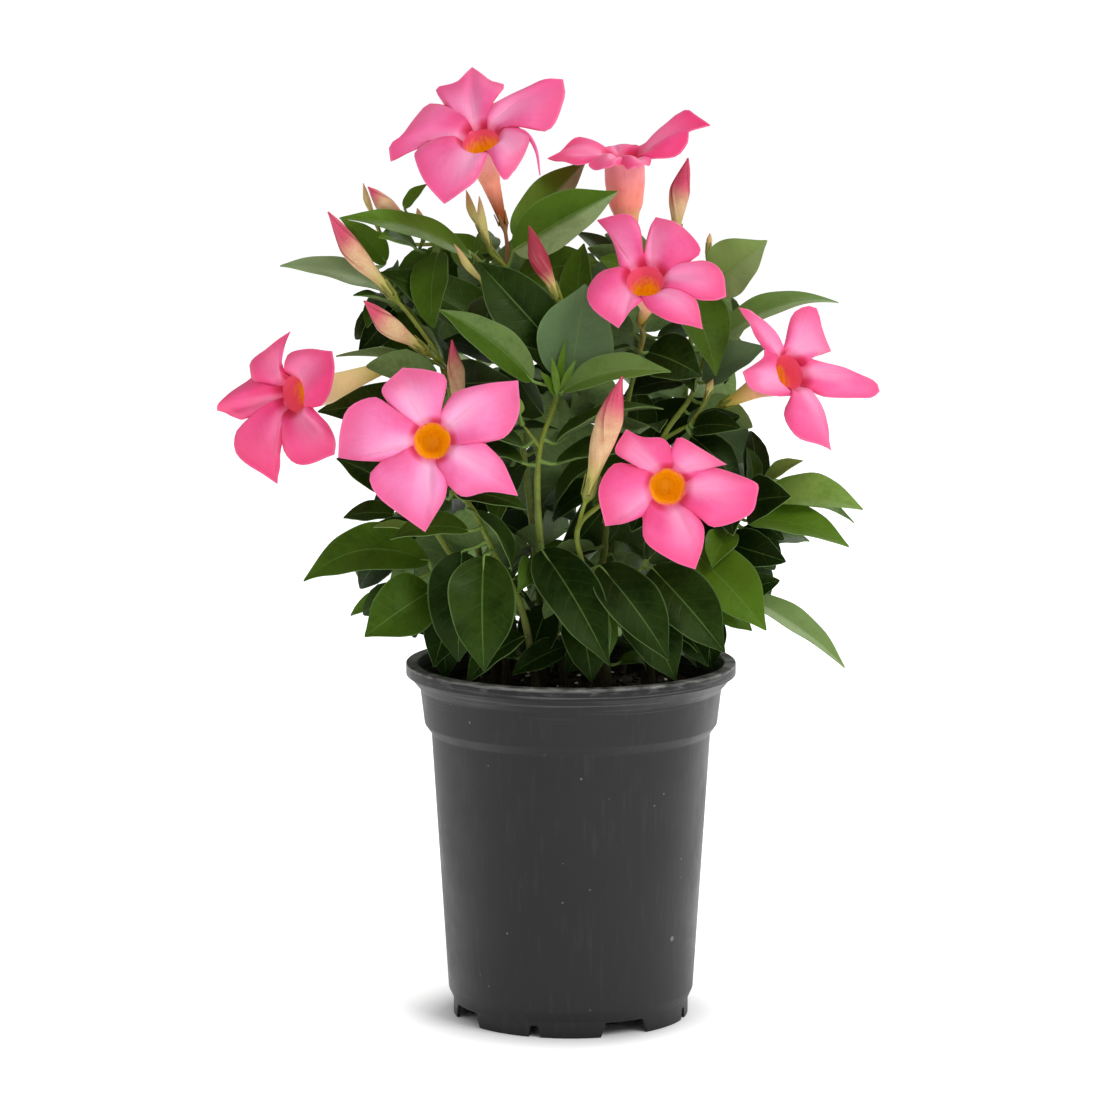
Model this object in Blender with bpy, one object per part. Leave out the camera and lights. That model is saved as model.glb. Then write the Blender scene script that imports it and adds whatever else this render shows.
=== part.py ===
"""Potted dipladenia: a black nursery pot of soil, leafy stems, seven blooms and their buds."""
import math
import random
from collections import namedtuple

import bmesh
import bpy
from mathutils import Quaternion, Vector
from mathutils.bvhtree import BVHTree

MM = 0.001

# Pot, in metres
POT_SIDES = 32
RIM_HEIGHT = 0.152
RIM_RADIUS = 0.070
RIM_INNER_RADIUS = 0.0651
LIP_DROP = 0.005
LIP_EDGE = 0.0006
LIP_UNDERSIDE = 0.0010
COLLAR_TOP_HEIGHT = 0.141
COLLAR_RADIUS = 0.0640
COLLAR_FOOT_HEIGHT = 0.126
COLLAR_FOOT_RADIUS = 0.0622
BODY_TOP_HEIGHT = 0.122
BODY_TOP_RADIUS = 0.0593
BODY_FOOT_HEIGHT = 0.0115
BODY_FOOT_RADIUS = 0.0523
FOOT_TOP_HEIGHT = 0.0070
FOOT_RADIUS = 0.0502
WALL = 0.0014
TRAY_HEIGHT = 0.0070
TRAY_INNER_RADIUS = 0.0340
PAD_RADIUS = 0.0300
DISH_SLOPE_INSET = 0.0010
NOTCH_NEAR = 0.044
NOTCH_FAR = 0.058
NOTCH_BELOW = 0.002
NOTCH_HEIGHT = 0.0062
WIDE_NOTCH_WIDTH = 0.0220
WIDE_NOTCH_TOP_SHARE = 0.8
SMALL_NOTCH_WIDTH = 0.0053
SMALL_NOTCH_HEIGHT = 0.0048
SMALL_NOTCH_TOP_SHARE = 0.6
FIRST_WIDE_NOTCH = math.radians(-63)
FIRST_SMALL_NOTCH = math.radians(-18)
DRAIN_RADIUS = 0.0042
DRAIN_PLACE = 0.0420
DRAIN_LOW = 0.004
DRAIN_HIGH = 0.012
DRAIN_SIDES = 10

# Soil and stems, in metres
SEAT_GAP = 0.0003
SOIL_HEIGHT = 0.138
SOIL_EDGE_GAP = 0.0006
SOIL_BUMP = 0.0012
COARSE_WAVE = 230.0
FINE_WAVE = 410.0
FINE_WAVE_SHARE = 0.6
HOLE_DEPTH = 0.016
HOLE_ABOVE = 0.010
STEM_COLLAR = 0.003
STEM_RADIUS = 0.0023
SHOOT_RADIUS = 0.0011
SHOOT_FOOT_SHARE = 1.1
SHOOT_TIP_SHARE = 0.8
STALK_RADIUS = 0.0009
STALK_STRAIGHT = 0.002
CALYX_RADIUS = 0.0021
CALYX_END_SHARE = 0.9
STEM_SIDES = 5
STALK_SIDES = 4
HOLE_SIDES = 6
HOLE_RADIUS = STEM_RADIUS + 0.0008

# Points closer than this are one point
WELD = 0.00003

# Leaves, in metres
BLADE = 0.0008
PETIOLE_SHARE = 0.4
LEAF_CLEARANCE = 0.0006
LEAF_FOLD = 0.22
SEEN_STATIONS = [(0.14, 0.58), (0.44, 1.0), (0.76, 0.70)]
LEAF_CHECKS = (0.35, 0.6, 0.85)

# A seen leaf that would cross another is moved by these millimetres and turned by these degrees
LEAF_SHIFTS = (0, 4, -4, 8, -8, 12, -12, 17, -17, 23, -23, 30, -30)
LEAF_FOOT_SHIFT_SHARE = 0.3
LEAF_TURNS = (0, 12, -12, 24)

# Leaves that are hidden from the viewer, in metres, degrees and shares
GROWN_STATIONS = [(0.24, 0.84), (0.66, 0.90)]
GROWN_LEAF_LENGTH = 0.052
GROWN_LEAF_HALF_WIDTH = 0.0125
GROWN_PETIOLE = 0.007
GROWN_ARCH = 0.004
GROWN_TRIES = 24
GROWN_LENGTHS = (0.72, 1.1)
SHORTER_EACH_TRY = 0.03
PAIR_SPACING = 0.036
PAIR_START = 0.83
LEAF_SEED = 1009
BARE_HEIGHT = 0.02
LOW_HEIGHT = 0.07
LOW_PITCHES = (-65, -15)
HIGH_PITCHES = (-50, 25)
GROWN_ROLLS = (-40, 40)
GROWN_SWAY = (-0.7, 0.7)
WIDEST_SHARE = 0.45

# Blooms and buds, in metres, radians and shares
PETAL = 0.0008
THROAT_RADIUS = 0.0080
FUNNEL_LENGTH = 0.022
FUNNEL_FLOOR = FUNNEL_LENGTH * 0.86
EDGE_ON = 0.2
TUBE_END_RADIUS = 0.0016
PETAL_SWELL = 0.0022
FULL_SWELL_REACH = 0.012
LEAST_TURN = math.radians(2.5)
UNTANGLE_PASSES = 80
PETAL_BACK_BANDS = (3, 4)
THROAT_LIP = PETAL * 0.4
THROAT_BACK = PETAL * 1.6
PETAL_CHECK = 0.8
BUD_PROFILE = [(0.0, 0.34), (0.18, 0.42), (0.42, 0.86), (0.62, 1.0), (0.84, 0.52)]
BUD_TWIST = 1.2
BUD_CALYX_SHARE = 0.42
BUD_CALYX_LEAST = STALK_RADIUS * 1.15
FULL_BUD_PIXELS = 12
FULL_BUD_SIDES = 7
YOUNG_BUD_SIDES = 5
BUD_CHECKS = (0.3, 0.7)

# The place that the object was seen from, and the width of one pixel as a fraction of distance
VIEW_POINT = Vector((-0.0089, -1.997, 0.4924))
VIEW_TILT = math.radians(8.34)
VIEW_PIXEL = 1 / 4768.0
VIEW_MIDDLE = 550.0
VIEW_AHEAD = Vector((0, math.cos(VIEW_TILT), -math.sin(VIEW_TILT)))
VIEW_UP = Vector((0, math.sin(VIEW_TILT), math.cos(VIEW_TILT)))
VIEW_RIGHT = Vector((1, 0, 0))

# A place as seen: pixel column, pixel row and millimetres behind the pot's axis
Spot = namedtuple("Spot", "across down depth")

# stem: what carries it. foot and tip: the ends of the blade. wide: its width in pixels.
# turn: degrees that the blade is turned up from facing the viewer. arch: millimetres it bows.
Leaf = namedtuple("Leaf", "stem foot tip wide turn arch")

# heart: the middle of the throat. facing: the way it looks. rim: the petals' outline, clockwise
# in pixels, each with its millimetres forward of the flat, or behind the heart where the flower is
# seen edge-on. stalk: from the stem to the tube's end. funnel: its radius half-way down and at its
# foot, in millimetres.
Bloom = namedtuple("Bloom", "name stem heart facing rim stalk funnel")

# tip and foot: the ends of the rolled petals. wide: pixels. stalk: from the stem to the foot.
Bud = namedtuple("Bud", "name stem tip foot wide stalk")

# root: millimetres across and behind the pot's axis in the soil. path: upward. shoots: side paths.
Stem = namedtuple("Stem", "name root path shoots")

STEMS = [
    Stem("left_low", (-27, -9), [Spot(498, 610, -24), Spot(455, 560, -27), Spot(425, 517, -22),
                                 Spot(402, 497, -16)],
         [[Spot(455, 560, -27), Spot(425, 575, -26), Spot(395, 588, -20)]]),
    Stem("front_left", (-14, -30), [Spot(522, 610, -40), Spot(495, 555, -46), Spot(472, 508, -42),
                                    Spot(452, 492, -34)], []),
    Stem("left_flowers", (-32, 14), [Spot(488, 600, 2), Spot(468, 500, 2), Spot(456, 430, 0),
                                     Spot(446, 368, -6)],
         [[Spot(456, 430, 0), Spot(436, 350, 16), Spot(400, 300, 18), Spot(376, 268, 14)]]),
    Stem("top_left", (-12, 14), [Spot(540, 600, 14), Spot(527, 480, 12), Spot(514, 380, 8),
                                 Spot(510, 325, 6), Spot(507, 268, 4)],
         [[Spot(510, 325, 6), Spot(480, 262, 14), Spot(444, 244, 12), Spot(424, 238, 10)]]),
    Stem("top_right", (10, 30), [Spot(606, 600, 34), Spot(622, 450, 32), Spot(640, 350, 26),
                                 Spot(645, 290, 20)],
         [[Spot(645, 290, 20), Spot(672, 262, 20), Spot(708, 282, 12)]]),
    Stem("centre_right", (12, 6), [Spot(600, 600, 8), Spot(612, 480, 4), Spot(628, 400, -2),
                                   Spot(640, 352, -6)], []),
    Stem("right_flowers", (32, 14), [Spot(644, 600, 12), Spot(652, 500, 8), Spot(662, 440, 2),
                                     Spot(690, 398, 4), Spot(704, 360, 8)],
         [[Spot(662, 440, 2), Spot(690, 424, -4)]]),
    Stem("front_right", (16, -30), [Spot(600, 620, -38), Spot(584, 570, -42), Spot(578, 528, -42),
                                    Spot(606, 500, -38)],
         [[Spot(600, 620, -38), Spot(628, 585, -34), Spot(646, 562, -30)]]),
    Stem("right_low", (34, -10), [Spot(655, 612, -8), Spot(700, 560, -6), Spot(734, 520, 0),
                                  Spot(758, 488, 4)],
         [[Spot(655, 612, -8), Spot(690, 606, 6), Spot(722, 598, 12)]]),
    Stem("middle_shoot", (-2, -12), [Spot(548, 600, -22), Spot(538, 510, -28), Spot(540, 448, -30),
                                     Spot(556, 400, -28), Spot(566, 345, -24)],
         [[Spot(540, 448, -30), Spot(522, 424, -30)]]),
    Stem("back_left", (-22, 40), [Spot(502, 560, 52), Spot(484, 440, 58), Spot(478, 330, 56),
                                  Spot(486, 268, 52)], []),
    Stem("back_right", (22, 42), [Spot(640, 560, 56), Spot(676, 450, 60), Spot(690, 350, 58),
                                  Spot(690, 300, 54)], []),
    Stem("back_middle", (-2, 48), [Spot(572, 560, 56), Spot(574, 430, 60), Spot(580, 320, 58),
                                   Spot(584, 262, 52)], []),
]

BLOOMS = [
    Bloom("bloom_top_left", "top_left", Spot(480, 137, -8), (-0.15, -0.63, 0.76),
          [(490, 104, 0), (512, 92, 1), (540, 80, 2), (565, 79, -1), (566, 98, -1), (548, 129, 0),
           (515, 122, 0), (530, 138, 1), (527, 152, -1), (516, 170, -3), (503, 178, -3),
           (488, 152, 0), (479, 177, 0), (461, 192, -2), (443, 203, -4), (424, 184, -1),
           (413, 157, 1), (418, 146, 0), (404, 150, 0), (389, 163, -3), (388, 146, -1),
           (402, 134, 1), (424, 103, 1), (444, 104, 0), (435, 86, 0), (458, 80, 1), (472, 66, -3),
           (490, 77, 1), (505, 84, 0)],
          [Spot(507, 268, 4), Spot(507, 245, 6), Spot(503, 222, 10)], (7.2, 5.0)),
    Bloom("bloom_top_right", "top_right", Spot(625, 156, 22), (-0.03, -0.02, 1.0),
          [(546, 158, -4), (560, 148, 6), (577, 137, 14), (590, 143, 14), (600, 149, 12),
           (606, 149, 22), (617, 150, 30), (632, 148, 26), (642, 146, 14), (660, 137, 16),
           (680, 115, 12), (688, 106, 8), (700, 115, 4), (712, 126, 0), (702, 128, -2),
           (690, 132, -4), (690, 141, -6), (681, 152, -8), (668, 156, -9), (652, 158, -10),
           (650, 164, -16), (640, 167, -23), (628, 167, -24), (622, 164, -17), (612, 167, -24),
           (600, 168, -24), (588, 166, -19), (592, 161, -11), (575, 164, -13), (560, 163, -10)],
          [Spot(645, 290, 20), Spot(640, 262, 22), Spot(633, 240, 20)], (8.6, 7.0)),
    Bloom("bloom_centre_right", "centre_right", Spot(645, 278, -40), (-0.05, -0.78, 0.62),
          [(643, 257, 0), (648, 232, 0), (656, 216, -3), (683, 224, 1), (702, 249, 0),
           (690, 262, 0), (706, 260, 1), (724, 273, 0), (728, 296, -3), (705, 301, 0),
           (684, 294, 0), (698, 302, 0), (704, 329, -3), (672, 323, 0), (650, 311, 0),
           (642, 301, 0), (629, 312, 0), (618, 330, -3), (591, 309, 0), (586, 290, 0),
           (598, 272, 0), (619, 266, 0), (612, 241, 0), (596, 219, -3), (627, 211, 0),
           (640, 226, 0)],
          [Spot(640, 352, -6), Spot(644, 336, -9), Spot(641, 322, -13)], (6.0, 3.0)),
    Bloom("bloom_left", "left_flowers", Spot(290, 395, -22), (-0.70, -0.71, -0.05),
          [(284, 372, 0), (287, 354, 0), (306, 348, 1), (334, 350, -3), (335, 375, 0),
           (323, 404, 0), (312, 408, 0), (336, 436, 0), (335, 456, -3), (301, 467, 0),
           (284, 452, 0), (282, 430, 0), (281, 458, 0), (275, 486, -3), (262, 477, 0),
           (236, 455, 0), (236, 433, 0), (250, 418, 0), (238, 420, 0), (216, 411, -3),
           (219, 402, 0), (236, 387, 0), (250, 377, 0), (248, 362, 0), (266, 347, 0),
           (291, 330, -3), (280, 352, 0)],
          [Spot(446, 368, -6), Spot(428, 360, 0), Spot(402, 361, 6)], (5.4, 3.4)),
    Bloom("bloom_front_left", "left_flowers", Spot(432, 441, -62), (0.0, -0.98, 0.15),
          [(441, 411, 0), (455, 392, 0), (484, 383, 1), (520, 379, -3), (521, 412, -1),
           (508, 436, 0), (486, 443, 0), (503, 460, 0), (512, 478, 0), (520, 497, -3),
           (490, 493, 0), (464, 498, 0), (448, 486, 0), (445, 500, 0), (437, 514, 0),
           (425, 534, -4), (404, 519, 0), (377, 498, 0), (368, 477, 0), (380, 462, 0),
           (356, 461, 0), (336, 458, -3), (338, 430, 0), (347, 407, 0), (372, 396, 0),
           (388, 404, 0), (381, 387, 0), (402, 366, -3), (430, 369, 0), (447, 378, 0)],
          [Spot(446, 368, -6), Spot(440, 392, -12), Spot(436, 420, -18)], (6.0, 3.0)),
    Bloom("bloom_front_right", "front_right", Spot(668, 487, -64), (0.05, -0.98, 0.12),
          [(672, 447, 0), (680, 436, 0), (704, 449, 0), (728, 464, -3), (706, 469, 0),
           (720, 468, 0), (757, 482, 0), (760, 492, -3), (752, 515, 0), (716, 528, 0),
           (699, 517, 0), (705, 530, 0), (703, 550, 0), (696, 571, -3), (674, 563, 0),
           (645, 543, 0), (642, 517, 0), (624, 524, 0), (604, 527, -3), (597, 490, 0),
           (612, 464, 0), (634, 464, 0), (614, 451, 0), (625, 428, -3), (642, 436, 0),
           (662, 437, 0)],
          [Spot(606, 500, -38), Spot(632, 502, -14), Spot(651, 494, -11), Spot(655, 492, -22)],
          (6.0, 3.0)),
    Bloom("bloom_right", "right_flowers", Spot(793, 370, -16), (0.60, -0.70, 0.38),
          [(784, 348, 0), (794, 312, 0), (814, 306, 0), (822, 328, 0), (832, 351, -3),
           (811, 358, 0), (850, 370, 1), (877, 381, -1), (883, 391, -1), (872, 398, -1),
           (828, 398, 0), (812, 391, 0), (829, 424, 0), (832, 452, -3), (818, 446, 0), (796, 438, 0),
           (785, 415, 0), (792, 396, 0), (775, 396, 0), (748, 388, -2), (741, 372, 0),
           (762, 358, 0), (764, 348, 0), (749, 326, 0), (738, 306, -3), (754, 310, 0),
           (767, 328, 0)],
          [Spot(690, 424, -4), Spot(706, 414, -2), Spot(724, 405, 0)], (6.0, 3.0)),
]

BUDS = [
    Bud("bud_left_long", "left_flowers", Spot(328, 212, -24), Spot(392, 295, -16), 24,
        [Spot(446, 368, -6), Spot(432, 346, -10), Spot(410, 316, -14)]),
    Bud("bud_left_short", "left_flowers", Spot(364, 301, -44), Spot(424, 350, -26), 24,
        [Spot(446, 368, -6), Spot(440, 362, -20)]),
    Bud("bud_behind_bloom", "left_flowers", Spot(452, 340, -36), Spot(461, 424, -26), 20,
        [Spot(456, 430, 0), Spot(462, 436, -14)]),
    Bud("bud_right_top", "top_right", Spot(688, 158, 12), Spot(675, 240, 16), 23,
        [Spot(672, 262, 20), Spot(673, 252, 18)]),
    Bud("bud_slender", "top_left", Spot(454, 244, -20), Spot(488, 288, -12), 9,
        [Spot(510, 325, 6), Spot(498, 306, -6)]),
    Bud("bud_middle_red", "middle_shoot", Spot(529, 226, -30), Spot(558, 298, -24), 22,
        [Spot(566, 345, -24), Spot(562, 318, -24)]),
    Bud("bud_front_large", "front_right", Spot(622, 377, -74), Spot(588, 494, -58), 31,
        [Spot(578, 528, -42), Spot(582, 512, -54)]),
    Bud("bud_left_pink", "top_left", Spot(368, 187, -6), Spot(410, 224, 2), 20,
        [Spot(424, 238, 10), Spot(418, 232, 6)]),
    Bud("bud_left_upright", "top_left", Spot(363, 183, 14), Spot(376, 222, 14), 8,
        [Spot(444, 244, 12), Spot(410, 244, 20), Spot(384, 236, 16)]),
    Bud("bud_left_small", "top_left", Spot(417, 208, 18), Spot(426, 230, 18), 9,
        [Spot(444, 244, 12), Spot(434, 240, 17)]),
    Bud("bud_young_left", "top_left", Spot(466, 190, 14), Spot(482, 234, 10), 10,
        [Spot(507, 268, 4), Spot(493, 250, 8)]),
    Bud("bud_young_right", "top_left", Spot(479, 196, -8), Spot(490, 248, -4), 10,
        [Spot(507, 268, 4), Spot(496, 258, -2)]),
    Bud("bud_right_tiny", "top_right", Spot(710, 233, 24), Spot(708, 252, 22), 7,
        [Spot(708, 282, 12), Spot(708, 264, 18)]),
    Bud("bud_right_small", "right_flowers", Spot(713, 379, -4), Spot(706, 399, -4), 9,
        [Spot(690, 424, -4), Spot(700, 410, -5)]),
]

LEAVES = [
    Leaf("top_left", Spot(514, 236, 10), Spot(585, 161, 34), 36, 25, 2),
    Leaf("top_left", Spot(514, 250, 0), Spot(617, 191, -8), 50, 15, 3),
    Leaf("top_left", Spot(470, 257, 6), Spot(341, 216, -20), 22, 50, 5),
    Leaf("left_flowers", Spot(386, 262, 4), Spot(342, 219, -12), 24, 20, 2),
    Leaf("top_left", Spot(418, 250, 4), Spot(380, 236, -30), 26, 40, 2),
    Leaf("top_left", Spot(404, 208, 12), Spot(426, 184, 12), 10, 40, 1),
    Leaf("left_flowers", Spot(388, 290, 6), Spot(281, 264, -8), 22, 55, 3),
    Leaf("left_flowers", Spot(398, 306, 4), Spot(354, 294, -10), 9, 70, 1),
    Leaf("left_flowers", Spot(428, 344, 24), Spot(366, 322, 20), 42, 10, 2),
    Leaf("left_flowers", Spot(430, 362, 10), Spot(336, 354, 6), 9, 75, 1),
    Leaf("left_flowers", Spot(436, 400, 12), Spot(317, 411, 22), 40, 20, 2),
    Leaf("left_low", Spot(400, 492, -10), Spot(337, 458, -14), 32, 25, 2),
    Leaf("top_left", Spot(500, 336, 12), Spot(382, 271, 4), 46, 30, 3),
    Leaf("middle_shoot", Spot(552, 344, -22), Spot(478, 262, -22), 58, 10, 3),
    Leaf("middle_shoot", Spot(532, 380, -38), Spot(440, 309, -44), 34, 30, 4),
    Leaf("middle_shoot", Spot(564, 390, -36), Spot(670, 370, -50), 27, 45, 5),
    Leaf("middle_shoot", Spot(570, 382, -32), Spot(585, 284, -38), 76, 5, 3),
    Leaf("centre_right", Spot(648, 352, -2), Spot(702, 376, -14), 48, 15, 3),
    Leaf("right_flowers", Spot(704, 382, 2), Spot(766, 346, -4), 32, 35, 3),
    Leaf("right_flowers", Spot(708, 350, 12), Spot(838, 300, 26), 22, 55, 9),
    Leaf("top_right", Spot(714, 284, 8), Spot(766, 241, -10), 52, 10, 2),
    Leaf("top_right", Spot(628, 278, 32), Spot(576, 231, 36), 20, 45, 3),
    Leaf("middle_shoot", Spot(578, 316, -14), Spot(583, 243, -2), 30, 30, 2),
    Leaf("back_left", Spot(482, 276, 48), Spot(446, 233, 44), 34, 30, 2),
    Leaf("right_flowers", Spot(690, 414, 10), Spot(752, 462, 16), 50, 15, 3),
    Leaf("right_low", Spot(753, 486, 2), Spot(748, 448, -2), 15, 50, 1),
    Leaf("right_low", Spot(765, 482, 2), Spot(802, 460, -4), 13, 45, 2),
    Leaf("right_low", Spot(768, 487, 8), Spot(792, 490, 18), 9, 60, 1),
    Leaf("right_low", Spot(767, 494, -2), Spot(863, 508, -8), 32, 40, 5),
    Leaf("right_low", Spot(766, 500, 12), Spot(855, 521, 20), 26, 40, 4),
    Leaf("right_low", Spot(748, 520, -6), Spot(849, 545, -22), 35, 35, 5),
    Leaf("right_low", Spot(742, 541, 6), Spot(810, 540, 18), 24, 45, 3),
    Leaf("right_low", Spot(728, 532, -14), Spot(712, 566, -34), 30, 20, 2),
    Leaf("right_low", Spot(734, 556, 12), Spot(770, 600, 24), 38, 10, 2),
    Leaf("right_low", Spot(693, 552, -18), Spot(766, 629, -44), 58, 15, 4),
    Leaf("right_low", Spot(740, 594, 12), Spot(846, 666, 6), 22, 50, 4),
    Leaf("right_low", Spot(700, 600, -2), Spot(752, 630, -10), 32, 25, 3),
    Leaf("right_low", Spot(702, 604, 2), Spot(712, 668, -4), 36, 8, 3),
    Leaf("left_low", Spot(394, 514, -16), Spot(343, 517, -8), 19, 45, 2),
    Leaf("left_low", Spot(420, 532, -30), Spot(374, 526, -36), 8, 70, 1),
    Leaf("left_low", Spot(428, 560, -32), Spot(303, 580, -30), 46, 25, 5),
    Leaf("left_low", Spot(432, 590, -34), Spot(365, 636, -48), 60, 10, 4),
    Leaf("left_low", Spot(392, 592, -14), Spot(350, 615, -10), 14, 45, 1),
    Leaf("left_low", Spot(442, 588, -20), Spot(446, 680, -24), 42, 5, 3),
    Leaf("front_left", Spot(458, 492, -44), Spot(526, 508, -58), 23, 40, 3),
    Leaf("front_left", Spot(468, 530, -48), Spot(390, 538, -56), 22, 45, 4),
    Leaf("front_left", Spot(462, 552, -44), Spot(458, 662, -50), 62, 10, 4),
    Leaf("front_left", Spot(484, 556, -56), Spot(484, 671, -70), 66, 5, 6),
    Leaf("front_left", Spot(524, 636, -40), Spot(466, 684, -50), 36, 25, 3),
    Leaf("front_right", Spot(566, 646, -34), Spot(512, 674, -44), 26, 25, 2),
    Leaf("middle_shoot", Spot(542, 550, -38), Spot(609, 664, -66), 55, 8, 5),
    Leaf("front_right", Spot(578, 610, -44), Spot(592, 682, -54), 44, 10, 3),
    Leaf("front_right", Spot(600, 566, -46), Spot(669, 659, -60), 55, 8, 5),
    Leaf("front_right", Spot(630, 600, -36), Spot(676, 680, -46), 52, 12, 3),
    Leaf("front_right", Spot(652, 568, -32), Spot(725, 652, -44), 58, 10, 4),
    Leaf("middle_shoot", Spot(520, 414, -34), Spot(514, 394, -36), 9, 20, 1),
    Leaf("middle_shoot", Spot(572, 356, -30), Spot(582, 338, -34), 8, 30, 1),
]

# The edge of the dense foliage as seen, inside which the unseen leaves grow
FOLIAGE_EDGE = [(350, 352), (368, 300), (392, 262), (440, 236), (520, 232), (610, 232),
                (668, 250), (716, 268), (742, 310), (748, 348), (726, 392), (752, 420),
                (768, 470), (806, 508), (800, 545), (778, 590), (748, 620), (724, 650),
                (690, 672), (450, 672), (404, 632), (352, 612), (350, 560), (392, 520),
                (352, 480), (344, 440), (384, 400)]

# Colours in red, green and blue, and roughness
POT_LOOK = ((0.030, 0.031, 0.033), 0.45)
SOIL_LOOK = ((0.030, 0.020, 0.013), 0.95)
LEAF_LOOK = ((0.035, 0.110, 0.018), 0.35)
PETAL_LOOK = ((0.90, 0.13, 0.36), 0.5)
BUD_LOOK = ((0.80, 0.22, 0.26), 0.5)
POT_CREASE = math.radians(35)
PETAL_CREASE = math.radians(50)


def view_ray(across, down):
    """Direction in which the pixel is seen."""
    return (VIEW_AHEAD + VIEW_RIGHT * ((across - VIEW_MIDDLE) * VIEW_PIXEL)
            + VIEW_UP * ((VIEW_MIDDLE - down) * VIEW_PIXEL))


def seen(spot):
    """World place of a spot."""
    way = view_ray(spot.across, spot.down)
    return VIEW_POINT + way * ((spot.depth * MM - VIEW_POINT.y) / way.y)


def seen_on_plane(across, down, middle, facing):
    """World place where the pixel's line of sight meets the plane through middle."""
    way = view_ray(across, down)
    return VIEW_POINT + way * ((middle - VIEW_POINT).dot(facing) / way.dot(facing))


def pixel_of(place):
    """Pixel column and row at which a world place is seen."""
    offset = place - VIEW_POINT
    distance = offset.dot(VIEW_AHEAD) * VIEW_PIXEL
    return (VIEW_MIDDLE + offset.dot(VIEW_RIGHT) / distance,
            VIEW_MIDDLE - offset.dot(VIEW_UP) / distance)


def across_axes(points):
    """For each point of a path, its direction and two axes across it that never spin."""
    out = []
    side = None
    for i, here in enumerate(points):
        along = (points[min(i + 1, len(points) - 1)] - points[max(i - 1, 0)]).normalized()
        if side is None:
            side = along.orthogonal()
        side = (side - along * side.dot(along)).normalized()
        out.append((along, side, along.cross(side)))
    return out


def loft(rings, closed_ends=(None, None), swapped_bands=()):
    """Vertices and faces of a closed body through rings of points, each end a point or flat.

    In the swapped bands the other diagonal divides each quad."""
    count = len(rings[0])
    verts = [p for ring in rings for p in ring]
    faces = []
    for r in range(len(rings) - 1):
        low, high = r * count, (r + 1) * count
        for k in range(count):
            n = (k + 1) % count
            if r in swapped_bands:
                faces.append((low + k, low + n, high + k))
                faces.append((low + n, high + n, high + k))
            else:
                faces.append((low + k, low + n, high + n))
                faces.append((low + k, high + n, high + k))
    for end, first, flip in ((closed_ends[0], 0, True),
                             (closed_ends[1], (len(rings) - 1) * count, False)):
        ring = [first + k for k in range(count)]
        if end is None:
            faces.append(tuple(reversed(ring)) if flip else tuple(ring))
        else:
            verts.append(end)
            for k in range(count):
                a, b = ring[k], ring[(k + 1) % count]
                faces.append((b, a, len(verts) - 1) if flip else (a, b, len(verts) - 1))
    return verts, faces


def tube(points, radii, sides):
    """Closed tube with flat ends along the points."""
    rings = []
    for here, radius, (_, side, cross) in zip(points, radii, across_axes(points)):
        turns = [2 * math.pi * k / sides for k in range(sides)]
        rings.append([here + (side * math.cos(a) + cross * math.sin(a)) * radius for a in turns])
    return loft(rings)


def add_object(name, verts, faces):
    """Object whose faces point out of its closed mesh."""
    mesh = bpy.data.meshes.new(name)
    mesh.from_pydata([tuple(v) for v in verts], [], faces)
    volume = 0.0
    for face in faces:
        a = Vector(verts[face[0]])
        for i in range(1, len(face) - 1):
            volume += a.dot(Vector(verts[face[i]]).cross(Vector(verts[face[i + 1]])))
    if volume < 0:
        mesh.flip_normals()
    obj = bpy.data.objects.new(name, mesh)
    bpy.context.scene.collection.objects.link(obj)
    return obj


def clean_body(mesh):
    """Weld a mesh's slivers shut and keep only its largest connected body."""
    body = bmesh.new()
    body.from_mesh(mesh)
    bmesh.ops.triangulate(body, faces=body.faces)
    bmesh.ops.remove_doubles(body, verts=body.verts, dist=WELD)
    bmesh.ops.dissolve_degenerate(body, edges=body.edges, dist=WELD)
    if any(len(edge.link_faces) != 2 for edge in body.edges):
        body.clear()
        body.from_mesh(mesh)
    groups = []
    waiting = set(body.verts)
    while waiting:
        reached = [waiting.pop()]
        for vert in reached:
            for edge in vert.link_edges:
                other = edge.other_vert(vert)
                if other in waiting:
                    waiting.remove(other)
                    reached.append(other)
        groups.append(reached)
    groups.sort(key=len)
    for group in groups[:-1]:
        bmesh.ops.delete(body, geom=group, context="VERTS")
    body.to_mesh(mesh)
    body.free()


def combine(base, others, operation, solver):
    """Apply one Boolean of base with all the others, which are then removed."""
    group = bpy.data.collections.new(base.name + "_pieces")
    for other in others:
        group.objects.link(other)
    step = base.modifiers.new("combine", "BOOLEAN")
    step.operation = operation
    step.operand_type = "COLLECTION"
    step.collection = group
    step.solver = solver
    bpy.context.view_layer.update()
    shaped = base.evaluated_get(bpy.context.evaluated_depsgraph_get())
    mesh = bpy.data.meshes.new_from_object(shaped)
    clean_body(mesh)
    base.modifiers.clear()
    base.data = mesh
    for other in others:
        bpy.data.objects.remove(other)
    bpy.data.collections.remove(group)


def give_material(obj, name, look):
    """Plain surface for one object."""
    colour, roughness = look
    material = bpy.data.materials.new(name)
    material.use_nodes = True
    shader = material.node_tree.nodes["Principled BSDF"]
    shader.inputs["Base Color"].default_value = (*colour, 1.0)
    shader.inputs["Roughness"].default_value = roughness
    shader.inputs["Metallic"].default_value = 0.0
    obj.data.materials.clear()
    obj.data.materials.append(material)


def turned(name, profile, sides):
    """Body turned round Z from (radius, height) pairs that begin and end on the axis."""
    turns = [2 * math.pi * k / sides for k in range(sides)]
    rings = [[Vector((r * math.cos(a), r * math.sin(a), z)) for a in turns]
             for r, z in profile[1:-1]]
    ends = (Vector((0, 0, profile[0][1])), Vector((0, 0, profile[-1][1])))
    verts, faces = loft(rings, ends)
    return add_object(name, verts, faces)


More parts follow.
